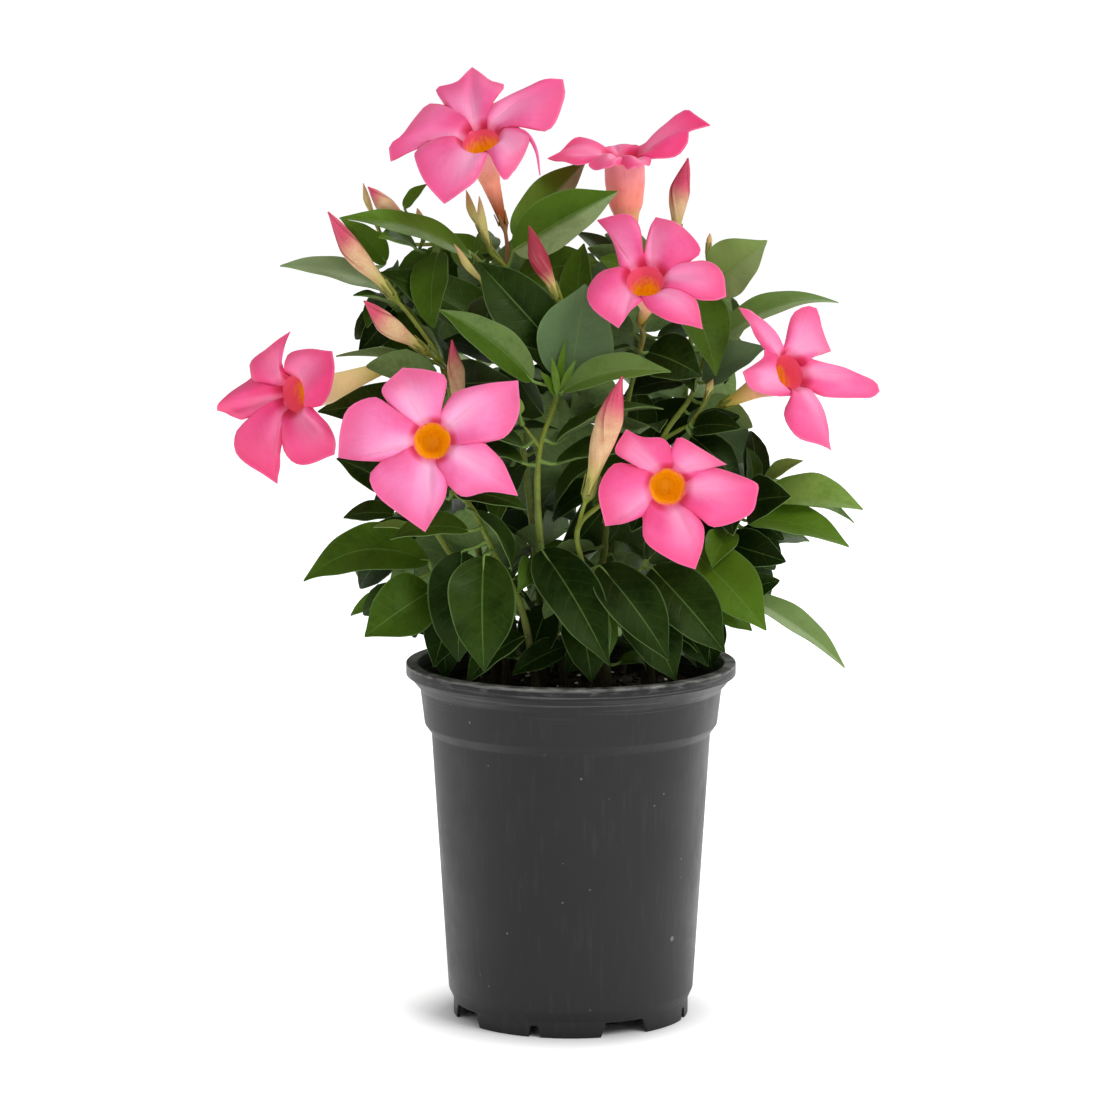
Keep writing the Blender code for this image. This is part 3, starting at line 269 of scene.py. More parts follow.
def notched(radius, height, turns):
    """Heights of the skirt squeezed up between the foot's top and the notched lower edge."""
    squeezed = height + notch_height(turns) * (1 - height / FOOT_TOP_HEIGHT)
    skirt = (radius > FOOT_RADIUS - WALL * 1.5) & (height < FOOT_TOP_HEIGHT)
    return np.where(skirt, squeezed, height)


def notch_angles():
    """Even angles round the pot, and the angles at which a notch's sides begin and end."""
    turns = [np.linspace(0, 2 * math.pi, POT_TURNS, endpoint=False)]
    for first, width, top_share in (
            (FIRST_WIDE_NOTCH, WIDE_NOTCH_WIDTH, WIDE_NOTCH_TOP_SHARE),
            (FIRST_SMALL_NOTCH, SMALL_NOTCH_WIDTH, SMALL_NOTCH_TOP_SHARE)):
        for half in (width / 2, width / 2 * top_share):
            for way in (-1, 1):
                quarters = first + np.arange(4) * math.pi / 2
                turns.append((quarters + way * half / FOOT_RADIUS) % (2 * math.pi))
    turns = np.sort(np.concatenate(turns))
    return turns[np.append(np.diff(turns) > math.radians(0.05), True)]


inner_wall = [(PAD_RADIUS - DISH_SLOPE_INSET, WALL),
              (TRAY_INNER_RADIUS - DISH_SLOPE_INSET, TRAY_HEIGHT + WALL),
              (FOOT_RADIUS - WALL, TRAY_HEIGHT + WALL),
              (BODY_FOOT_RADIUS - WALL, BODY_FOOT_HEIGHT + WALL),
              (BODY_TOP_RADIUS - WALL, BODY_TOP_HEIGHT),
              (COLLAR_FOOT_RADIUS - WALL, COLLAR_FOOT_HEIGHT),
              (COLLAR_RADIUS - WALL, COLLAR_TOP_HEIGHT),
              (RIM_INNER_RADIUS, RIM_HEIGHT)]
outer_wall = [(RIM_RADIUS, RIM_HEIGHT), (RIM_RADIUS, RIM_HEIGHT - LIP_DROP),
              (RIM_RADIUS - LIP_UNDERSIDE, RIM_HEIGHT - LIP_DROP),
              (COLLAR_RADIUS, COLLAR_TOP_HEIGHT), (COLLAR_FOOT_RADIUS, COLLAR_FOOT_HEIGHT),
              (BODY_TOP_RADIUS, BODY_TOP_HEIGHT), (BODY_FOOT_RADIUS, BODY_FOOT_HEIGHT),
              (FOOT_RADIUS, FOOT_TOP_HEIGHT), (FOOT_RADIUS, 0.0)]
underside = [(FOOT_RADIUS - WALL, 0.0), (FOOT_RADIUS - WALL, TRAY_HEIGHT),
             (TRAY_INNER_RADIUS, TRAY_HEIGHT), (PAD_RADIUS, 0.0), (0.0, 0.0)]


def node(tree, kind, inputs=(), **settings):
    """A shader node. Each input is a value, or the output of another node that feeds it."""
    made = tree.nodes.new("ShaderNode" + kind)
    for name, value in settings.items():
        setattr(made, name, value)
    for name, value in dict(inputs).items():
        if isinstance(value, bpy.types.NodeSocket):
            tree.links.new(value, made.inputs[name])
        else:
            made.inputs[name].default_value = value
    return made


def sums(tree, operation, *values):
    """Output of a Math node on up to three values."""
    return node(tree, "Math", enumerate(values), operation=operation).outputs[0]


def times(tree, first, second):
    """The product of two values."""
    return sums(tree, "MULTIPLY", first, second)


def distance(tree, value, middle):
    """How far a value is from the middle one."""
    return sums(tree, "ABSOLUTE", sums(tree, "SUBTRACT", value, middle))


def ramp(tree, value, low, high, start=0.0, end=1.0):
    """The value's way from low to high, eased, as a way from start to end."""
    inputs = {"Value": value, "From Min": low, "From Max": high, "To Min": start, "To Max": end}
    return node(tree, "MapRange", inputs, interpolation_type="SMOOTHSTEP").outputs[0]


def noise(tree, place, scale, detail=2.0, stretch=None):
    """Noise of scale patches in a metre, its place first multiplied by the three of stretch."""
    if stretch:
        place = node(tree, "VectorMath", {0: place, 1: stretch}, operation="MULTIPLY").outputs[0]
    return node(tree, "TexNoise", {"Vector": place, "Scale": scale, "Detail": detail}).outputs[0]


def paint(red, green, blue):
    """Colour of a shader from its screen values, 0 to 255."""
    share = np.array([red, green, blue]) / 255
    return (*np.where(share > 0.04045, ((share + 0.055) / 1.055) ** 2.4, share / 12.92), 1.0)


def blend(tree, share, first, second):
    """Colour between two colours. Each is an output, or its three screen values."""
    first, second = (paint(*end) if isinstance(end, tuple) else end for end in (first, second))
    return node(tree, "Mix", {0: share, 6: first, 7: second}, data_type="RGBA").outputs[2]


def coats(tree, colour, *layers):
    """The colour under thin layers, each with its share and its colour."""
    for share, over in layers:
        colour = blend(tree, share, colour, over)
    return colour


def finish(name, **values):
    """A new material, its node tree, its Principled shader with the given plain values, and the
    object's coordinates."""
    material = bpy.data.materials.new(name)
    material.use_nodes = True
    tree = material.node_tree
    shader = tree.nodes["Principled BSDF"]
    for key, value in values.items():
        shader.inputs[key.replace("_", " ")].default_value = value
    return material, tree, shader, node(tree, "TexCoord").outputs["Object"]


def feed(tree, shader, colour, roughness=None, height=None, strength=0.5, depth=0.0003):
    """Links a colour, a roughness and a relief to the shader."""
    tree.links.new(colour, shader.inputs["Base Color"])
    if roughness is not None:
        tree.links.new(roughness, shader.inputs["Roughness"])
    if height is not None:
        bump = node(tree, "Bump", {"Height": height, "Strength": strength, "Distance": depth})
        tree.links.new(bump.outputs[0], shader.inputs["Normal"])


def new_group(name, inputs, output):
    """An empty shader node group with a place, number inputs and one number output."""
    group = bpy.data.node_groups.new(name, "ShaderNodeTree")
    group.interface.new_socket("Place", in_out="INPUT", socket_type="NodeSocketVector")
    for title in inputs:
        group.interface.new_socket(title, in_out="INPUT", socket_type="NodeSocketFloat")
    group.interface.new_socket(output, in_out="OUTPUT", socket_type="NodeSocketFloat")
    return group, group.nodes.new("NodeGroupInput").outputs, group.nodes.new("NodeGroupOutput")


# Specks of dust: dots of cells that are smaller than Size, at Scale cells in a metre
specks, given, told = new_group("specks", ["Scale", "Size", "Share"], "Mask")
cells = node(specks, "TexVoronoi", {"Vector": given["Place"], "Scale": given["Scale"]})
cell_draw = node(specks, "SeparateColor", {0: cells.outputs["Color"]})
chosen = sums(specks, "LESS_THAN", cell_draw.outputs[0], given["Share"])
dot = sums(specks, "LESS_THAN", cells.outputs["Distance"],
           times(specks, given["Size"], cell_draw.outputs[1]))
specks.links.new(times(specks, chosen, dot), told.inputs["Mask"])

# Soft mottling: two sizes of noise, one in patches and one fine, mixed to about 0 to 1
mottle, given, told = new_group("mottle", ["Scale", "Fine"], "Value")
patches = noise(mottle, given["Place"], given["Scale"], 3.0)
fine = noise(mottle, given["Place"], times(mottle, given["Scale"], 6.0))
mixed = sums(mottle, "MULTIPLY_ADD", fine, given["Fine"], patches)
mottle.links.new(ramp(mottle, mixed, 0.35, 0.95), told.inputs["Value"])


def specked(tree, place, scale, size, share):
    """Mask of the specks on a material."""
    inputs = {"Place": place, "Scale": scale, "Size": size, "Share": share}
    return node(tree, "Group", inputs, node_tree=specks).outputs["Mask"]


def mottled(tree, place, scale, fine_share):
    """Value of the mottling on a material."""
    inputs = {"Place": place, "Scale": scale, "Fine": fine_share}
    return node(tree, "Group", inputs, node_tree=mottle).outputs["Value"]


black_plastic, tree, shader, place = finish("black_plastic", Specular_IOR_Level=0.36)
height = node(tree, "SeparateXYZ", {0: place}).outputs["Z"]
lip_foot = RIM_HEIGHT - LIP_DROP
clouds = mottled(tree, place, 28.0, 0.35)
streaks = noise(tree, place, 420.0, 3.0, (1.0, 1.0, 0.12))
scuffs = noise(tree, place, 160.0, 5.0, (1.0, 1.0, 4.0))
combed = noise(tree, place, 1.0, 2.0, (20.0, 20.0, 1300.0))
lip_scuff = times(tree, ramp(tree, height, lip_foot - 0.001, RIM_HEIGHT),
                  ramp(tree, scuffs, 0.50, 0.72))
# The lip's top edge: scuffed wear, and a painted highlight where the edge catches the light
edge_wear_and_highlight = times(tree, ramp(tree, height, RIM_HEIGHT - 0.0016, RIM_HEIGHT - 0.0004),
                  ramp(tree, scuffs, 0.25, 0.72))
# Painted shade: a dark band just under the overhanging lip
painted_shade_under_lip = ramp(tree, distance(tree, height, lip_foot), 0.0014, 0.0002)
rubbed = times(tree, ramp(tree, combed, 0.52, 0.66),
               ramp(tree, height, lip_foot - 0.012, lip_foot + 0.001))
colour = coats(tree, blend(tree, clouds, (12, 12, 13), (20, 20, 21)),
               (ramp(tree, streaks, 0.52, 0.80, 0.0, 0.35), (46, 46, 47)),
               (times(tree, lip_scuff, 0.6), (104, 104, 102)),
               (times(tree, rubbed, 0.55), (96, 96, 94)),
               (times(tree, painted_shade_under_lip, 0.8), (5, 5, 6)),
               (times(tree, edge_wear_and_highlight, 0.7), (136, 135, 132)),
               (times(tree, specked(tree, place, 260.0, 0.17, 0.07), 0.45), (128, 126, 120)),
               (times(tree, specked(tree, place, 95.0, 0.12, 0.05), 0.45), (150, 148, 142)))
rough = sums(tree, "ADD", ramp(tree, clouds, 0.0, 1.0, 0.36, 0.48), times(tree, lip_scuff, 0.2))
feed(tree, shader, colour, rough, sums(tree, "ADD", streaks, scuffs), 0.18, 0.0002)

pot_line = np.vstack([[(0.0, WALL)], rounded(inner_wall + outer_wall + underside, ROUNDING,
                                             ROUNDING_STEPS)])
pot = single("pot_shell", turned_body(pot_line, notch_angles(), notched), black_plastic, POT_CREASE)
spin = np.linspace(0, 2 * math.pi, DRAIN_SIDES, endpoint=False)
pile = Pile()
for quarter in range(4):
    turn = FIRST_WIDE_NOTCH + quarter * math.pi / 2
    ring = np.stack([DRAIN_PLACE * math.sin(turn) + DRAIN_RADIUS * np.cos(spin),
                     -DRAIN_PLACE * math.cos(turn) + DRAIN_RADIUS * np.sin(spin)], -1)
    pile.add(ring_body(np.array([np.column_stack([ring, np.full(DRAIN_SIDES, z)])
                                 for z in (DRAIN_LOW, DRAIN_HIGH)])))
drain_cutter = pile.make("drain_cutter", black_plastic)
cut = pot.modifiers.new("drain_holes", "BOOLEAN")
cut.operation = "DIFFERENCE"
cut.solver = "EXACT"
cut.object = drain_cutter
bpy.context.view_layer.update()
pierced = bpy.data.meshes.new_from_object(
    pot.evaluated_get(bpy.context.evaluated_depsgraph_get()))
pot.modifiers.clear()
pot.data = pierced
bpy.data.objects.remove(drain_cutter)
stands_for(pot, "pot")

# The soil
# Moist dark potting mix, filled in loose and pressed by watering: a lumpy surface of bark crumbs
# and fibres, with a few white grains of perlite.
SOIL_HEIGHT = 0.138
SEAT_GAP = 0.0003
SOIL_BUMP = 0.0012
COARSE_WAVE = 230.0
FINE_WAVE = 410.0
FINE_WAVE_SHARE = 0.6
LUMP_HEIGHT = 0.0005
SOIL_RINGS = 34
SOIL_TURNS = 120
SOIL_EDGE_GAP = 0.0006
CRUMBS = 620
CRUMB_SIZES = (0.0005, 0.0017)
PERLITE_GRAINS = 46
PERLITE_SIZES = (0.0005, 0.0011)
CRUMB_LENGTHS = (0.8, 2.2)
CRUMB_EDGE_GAP = 0.002
HOLE_DEPTH = 0.016
soil_edge = COLLAR_RADIUS - WALL - SEAT_GAP - SOIL_EDGE_GAP


def soil_rise(x, y):
    """Height above the mean of the soil's bumps: waves across and along, and small lumps."""
    coarse = np.sin(COARSE_WAVE * x) * np.cos(COARSE_WAVE * y)
    fine = np.sin(FINE_WAVE * y + COARSE_WAVE * x)
    lumps = np.sin(1900 * x + 5 * coarse) * np.sin(1700 * y + 4 * fine)
    return SOIL_BUMP * (coarse + FINE_WAVE_SHARE * fine) * 0.8 + LUMP_HEIGHT * lumps


potting_mix, tree, shader, place = finish("potting_mix", Specular_IOR_Level=0.25)
clods = mottled(tree, place, 260.0, 0.6)
colour = coats(tree, blend(tree, clods, (16, 12, 9), (44, 33, 24)),
               (times(tree, specked(tree, place, 700.0, 0.5, 0.06), 0.5), (150, 128, 98)))
feed(tree, shader, colour, ramp(tree, clods, 0.0, 1.0, 0.75, 0.98), clods, 0.9, 0.0008)
perlite, tree, shader, place = finish("perlite", Specular_IOR_Level=0.3)
pits = mottled(tree, place, 900.0, 0.8)
feed(tree, shader, blend(tree, pits, (176, 170, 158), (232, 228, 220)),
     ramp(tree, pits, 0.0, 1.0, 0.8, 0.95), pits, 0.7, 0.0003)

reach = np.linspace(1.0, 0.03, SOIL_RINGS)[:, None]
turns = np.linspace(0, 2 * math.pi, SOIL_TURNS, endpoint=False)[None, :]
x, y = soil_edge * reach * np.sin(turns), -soil_edge * reach * np.cos(turns)
surface = np.stack([x, y, SOIL_HEIGHT + soil_rise(x, y)], -1)
plug = np.array(inner_wall[:-2]) + (-SEAT_GAP, SEAT_GAP)
plug = np.stack([plug[:, :1] * np.sin(turns), -plug[:, :1] * np.cos(turns),
                 np.broadcast_to(plug[:, 1:], (len(plug), SOIL_TURNS))], -1)
soil = single("soil_bed", ring_body(np.vstack([plug, surface])), potting_mix)
stands_for(soil, "soil")


def lump_body(middle, size, spin, shape):
    """Small rough grain, a stretched sphere of few faces: r = 1 + 0.25 sin(3 a + spin) cos(2 b)."""
    b = np.linspace(-0.42 * math.pi, 0.42 * math.pi, 4)[:, None]
    a = np.linspace(0, 2 * math.pi, 7, endpoint=False)[None, :]
    r = 1 + 0.25 * np.sin(3 * a + spin) * np.cos(2 * b)
    grid = np.stack([r * np.cos(b) * np.cos(a), r * np.cos(b) * np.sin(a), r * np.sin(b)], -1)
    grid = grid * shape
    turn = np.array([[math.cos(spin), -math.sin(spin), 0], [math.sin(spin), math.cos(spin), 0],
                     [0, 0, 1]])
    return ring_body(middle + size * grid @ turn.T)


scatter = np.random.default_rng(5)
for count, name, material, sizes in ((CRUMBS, "soil_crumbs", potting_mix, CRUMB_SIZES),
                                     (PERLITE_GRAINS, "soil_perlite", perlite, PERLITE_SIZES)):
    pile = Pile()
    away = (soil_edge - CRUMB_EDGE_GAP) * np.sqrt(scatter.uniform(0, 1, count))
    turn = scatter.uniform(0, 2 * math.pi, count)
    size = scatter.uniform(*sizes, count)
    long = scatter.uniform(*CRUMB_LENGTHS, count)
    for k in range(count):
        x, y = away[k] * math.cos(turn[k]), away[k] * math.sin(turn[k])
        middle = np.array([x, y, SOIL_HEIGHT + soil_rise(x, y) + size[k] * 0.3])
        pile.add(lump_body(middle, size[k], turn[k] * 5, (long[k], 1.0, 0.7)))
    stands_for(pile.make(name, material), "soil")

# The stems
# Thirteen climbing stems root in the soil and lean outward and up: woody and brown at the foot,
# smooth and green higher up, with short side shoots. Each is one growth with what it carries.
STEM_RADIUS = 0.0023
SHOOT_RADIUS = 0.0011
SHOOT_FOOT_SHARE = 1.1
SHOOT_TIP_SHARE = 0.8
STEM_SHARE = 0.86
STEM_END = (0.9, 0.7, 0.4)
STEM_COLLAR = 0.003
STEM_SIDES = 12
PATH_STEP = 0.002
WOODY_HEIGHT = 0.12
WOODY_AT_FOOT = 1.05
SHOOT_AGE = 0.25
STEM_WARMTH = 0.15
WOOD_SHARES = (0.0, 0.25, 0.5, 0.75)

# Each stem: its root, millimetres across and behind the pot's axis in the soil, its path upward
# in spots, and the paths of its side shoots
STEMS = {
    "left_low": ((-27, -9), [(498, 610, -24), (455, 560, -27), (425, 517, -22), (402, 497, -16)], [
        [(455, 560, -27), (425, 575, -26), (395, 588, -20)]]),
    "front_left": ((-14, -30), [(522, 610, -40), (495, 555, -46), (472, 508, -42),
        (452, 492, -34)], []),
    "left_flowers": ((-32, 14), [(488, 600, 2), (468, 500, 2), (456, 430, 0), (446, 368, -6)], [
        [(456, 430, 0), (436, 350, 16), (400, 300, 18), (376, 268, 14)]]),
    "top_left": ((-12, 14), [(540, 600, 14), (527, 480, 12), (514, 380, 8), (510, 325, 6),
        (507, 268, 4)], [
        [(510, 325, 6), (480, 262, 14), (444, 244, 12), (424, 238, 10)]]),
    "top_right": ((10, 30), [(606, 600, 34), (622, 450, 32), (640, 350, 26), (645, 290, 20)], [
        [(645, 290, 20), (672, 262, 20), (708, 282, 12)]]),
    "centre_right": ((12, 6), [(600, 600, 8), (612, 480, 4), (628, 400, -2), (640, 352, -6)], []),
    "right_flowers": ((32, 14), [(644, 600, 12), (652, 500, 8), (662, 440, 2), (690, 398, 4),
        (704, 360, 8)], [
        [(662, 440, 2), (690, 424, -4)]]),
    "front_right": ((16, -30), [(600, 620, -38), (584, 570, -42), (578, 528, -42),
        (606, 500, -38)], [
        [(600, 620, -38), (628, 585, -34), (646, 562, -30)]]),
    "right_low": ((34, -10), [(655, 612, -8), (700, 560, -6), (734, 520, 0), (758, 488, 4)], [
        [(655, 612, -8), (690, 606, 6), (722, 598, 12)]]),
    "middle_shoot": ((-2, -12), [(548, 600, -22), (538, 510, -28), (540, 448, -30),
        (556, 400, -28), (566, 345, -24)], [
        [(540, 448, -30), (522, 424, -30)]]),
    "back_left": ((-22, 40), [(502, 560, 52), (484, 440, 58), (478, 330, 56), (486, 268, 52)], []),
    "back_right": ((22, 42), [(640, 560, 56), (676, 450, 60), (690, 350, 58), (690, 300, 54)], []),
    "back_middle": ((-2, 48), [(572, 560, 56), (574, 430, 60), (580, 320, 58), (584, 262, 52)], []),
}


def smooth_path(points, step=PATH_STEP):
    """Points about every step along the Catmull-Rom curve through the given points."""
    points = np.array([tuple(p) for p in points])
    points = np.vstack([2 * points[0] - points[1], points, 2 * points[-1] - points[-2]])
    parts = []
    for a, b, c, d in zip(points, points[1:], points[2:], points[3:]):
        count = max(2, round(np.linalg.norm(c - b) / step))
        t = np.linspace(0, 1, count, endpoint=False)[:, None]
        parts.append(0.5 * (2 * b + (c - a) * t + (2 * a - 5 * b + 4 * c - d) * t ** 2
                            + (3 * b - a - 3 * c + d) * t ** 3))
    return np.vstack(parts + [points[-2:-1]])


def unit(vectors):
    """The vectors at length one."""
    return vectors / np.linalg.norm(vectors, axis=-1, keepdims=True)


def rings_along(path, radii, sides):
    """Rings of points round a path: place + radius (side cos a + up sin a), square to the path.

    radii has one value for each ring, or one for each point of each ring."""
    along = unit(np.gradient(path, axis=0))
    far = np.eye(3)[np.argmin(np.abs(path[-1] - path[0]))]
    side = unit(np.cross(along, far))
    up = np.cross(side, along)
    turns = np.linspace(0, 2 * math.pi, sides, endpoint=False)[None, :, None]
    around = side[:, None] * np.cos(turns) + up[:, None] * np.sin(turns)
    return path[:, None] + around * np.reshape(radii, (len(path), -1, 1))


def ring_marks(values, sides):
    """One value for each ring, spread to its points and to the two ends."""
    values = np.asarray(values, float)
    return np.concatenate([np.repeat(values, sides), values[[0, -1]]])


def marked(tree, *names):
    """Values that the points of a piece carry under these names."""
    return [node(tree, "Attribute", attribute_name=name).outputs["Fac"] for name in names]


stem_skin, tree, shader, place = finish("stem_skin", Specular_IOR_Level=0.4)
age, warmth = marked(tree, "age", "warmth")
lean = mottled(tree, place, 180.0, 0.5)
pores = specked(tree, place, 800.0, 0.35, 0.2)
green = coats(tree, blend(tree, lean, (78, 106, 16), (120, 146, 42)), (warmth, (150, 108, 62)))
wood = coats(tree, blend(tree, lean, (34, 28, 18), (66, 56, 36)),
             (times(tree, pores, 0.5), (110, 96, 72)))
woody = ramp(tree, sums(tree, "MULTIPLY_ADD", lean, 0.25, age), 0.75, 1.15)
feed(tree, shader, blend(tree, woody, green, wood), ramp(tree, age, 0.3, 1.0, 0.42, 0.85), lean,
     0.4, 0.0002)

wood_places = {}
stem_lines = {}
for stem, (root, main_path, shoots) in STEMS.items():
    x, y = root[0] * MM, root[1] * MM
    foot = Vector((x, y, SOIL_HEIGHT - HOLE_DEPTH))
    collar = Vector((x, y, SOIL_HEIGHT + STEM_COLLAR))
    wood_places[stem], lines = [], []
    pile = Pile()
    for row, path in enumerate([[foot, collar] + [seen(s) for s in main_path]]
                               + [[seen(s) for s in shoot] for shoot in shoots]):
        for here, there in zip(path, path[1:]):
            wood_places[stem] += [here.lerp(there, share) for share in WOOD_SHARES]
        line = smooth_path(path)
        lines.append(line)
        share = np.linspace(0, 1, len(line))
        ends = (STEM_RADIUS, SHOOT_RADIUS)
        old = np.clip(WOODY_AT_FOOT - (line[:, 2] - SOIL_HEIGHT) / WOODY_HEIGHT, 0, 1)
        if row:
            ends = (SHOOT_RADIUS * SHOOT_FOOT_SHARE, SHOOT_RADIUS * SHOOT_TIP_SHARE)
            old = SHOOT_AGE * share
        thick = ends[0] + (ends[1] - ends[0]) * share
        waves = 0.05 * np.sin(share * 61 + row) + 0.04 * np.sin(share * 23)
        thick = STEM_SHARE * thick * (1 + waves)
        thick[-3:] *= STEM_END
        pile.add(ring_body(rings_along(line, thick, STEM_SIDES)), age=ring_marks(old, STEM_SIDES),
                 warmth=STEM_WARMTH)
    stem_lines[stem] = np.vstack(lines)
    stands_for(pile.make("wood_" + stem, stem_skin), "leafy_stem_" + stem)

# The blooms
# Seven open flowers, each one soft corolla: five pink lobes that overlap like a pinwheel and end in
# a curled point, a funnel that is orange inside, and a narrow tube that sits in a green calyx.
STALK_RADIUS = 0.0009
STALK_STRAIGHT = 0.002
STALK_STEP = 0.001
STALK_SHARE = 0.92
CALYX_RADIUS = 0.0021
CALYX_CREASE = math.radians(60)
FUNNEL_LENGTH = 0.022
FUNNEL_TOP = 0.0094
FUNNEL_NECK = 0.0084
FUNNEL_NECK_PLACE = 0.88
FUNNEL_FLOOR = FUNNEL_LENGTH * 0.86
FUNNEL_SIDES = 40
FUNNEL_STEP = 0.0012
FUNNEL_RIBS = 0.035
FUNNEL_WALL = 0.0006
THROAT_DROP = 0.0022
TUBE_END_RADIUS = 0.0016
TUBE_TAPER = 0.75
EDGE_ON = 0.2
PETAL_SWELL = 0.0022
PETAL_THICK = 0.00045
PETAL_CREASE = math.radians(65)
FULL_LOBE = 0.02
LOBE_FOOT_RADIUS = 0.0076
LOBE_FOOT_DEPTH = 0.0024
LOBE_FLARE = 0.0040
LOBE_TILT = 0.0009
LOBE_DOME = 0.0016
LOBE_FURROW = 0.0016
FURROW_PLACE = 0.36
FURROW_WIDTH = 0.09
LOBE_WAVE = 0.0008
LOBE_FINE_WAVE = 0.0003
LOBE_ROWS = 26
LOBE_HALF = 14
LOBE_OVERLAP = 0.16
LOBE_SHARE = 0.98
SEPALS = 5
SEPAL_LENGTH = 0.0055
SEPAL_THICK = 0.0003
SEPAL_FOOT = 0.0012
SEPAL_FLARE = 0.25
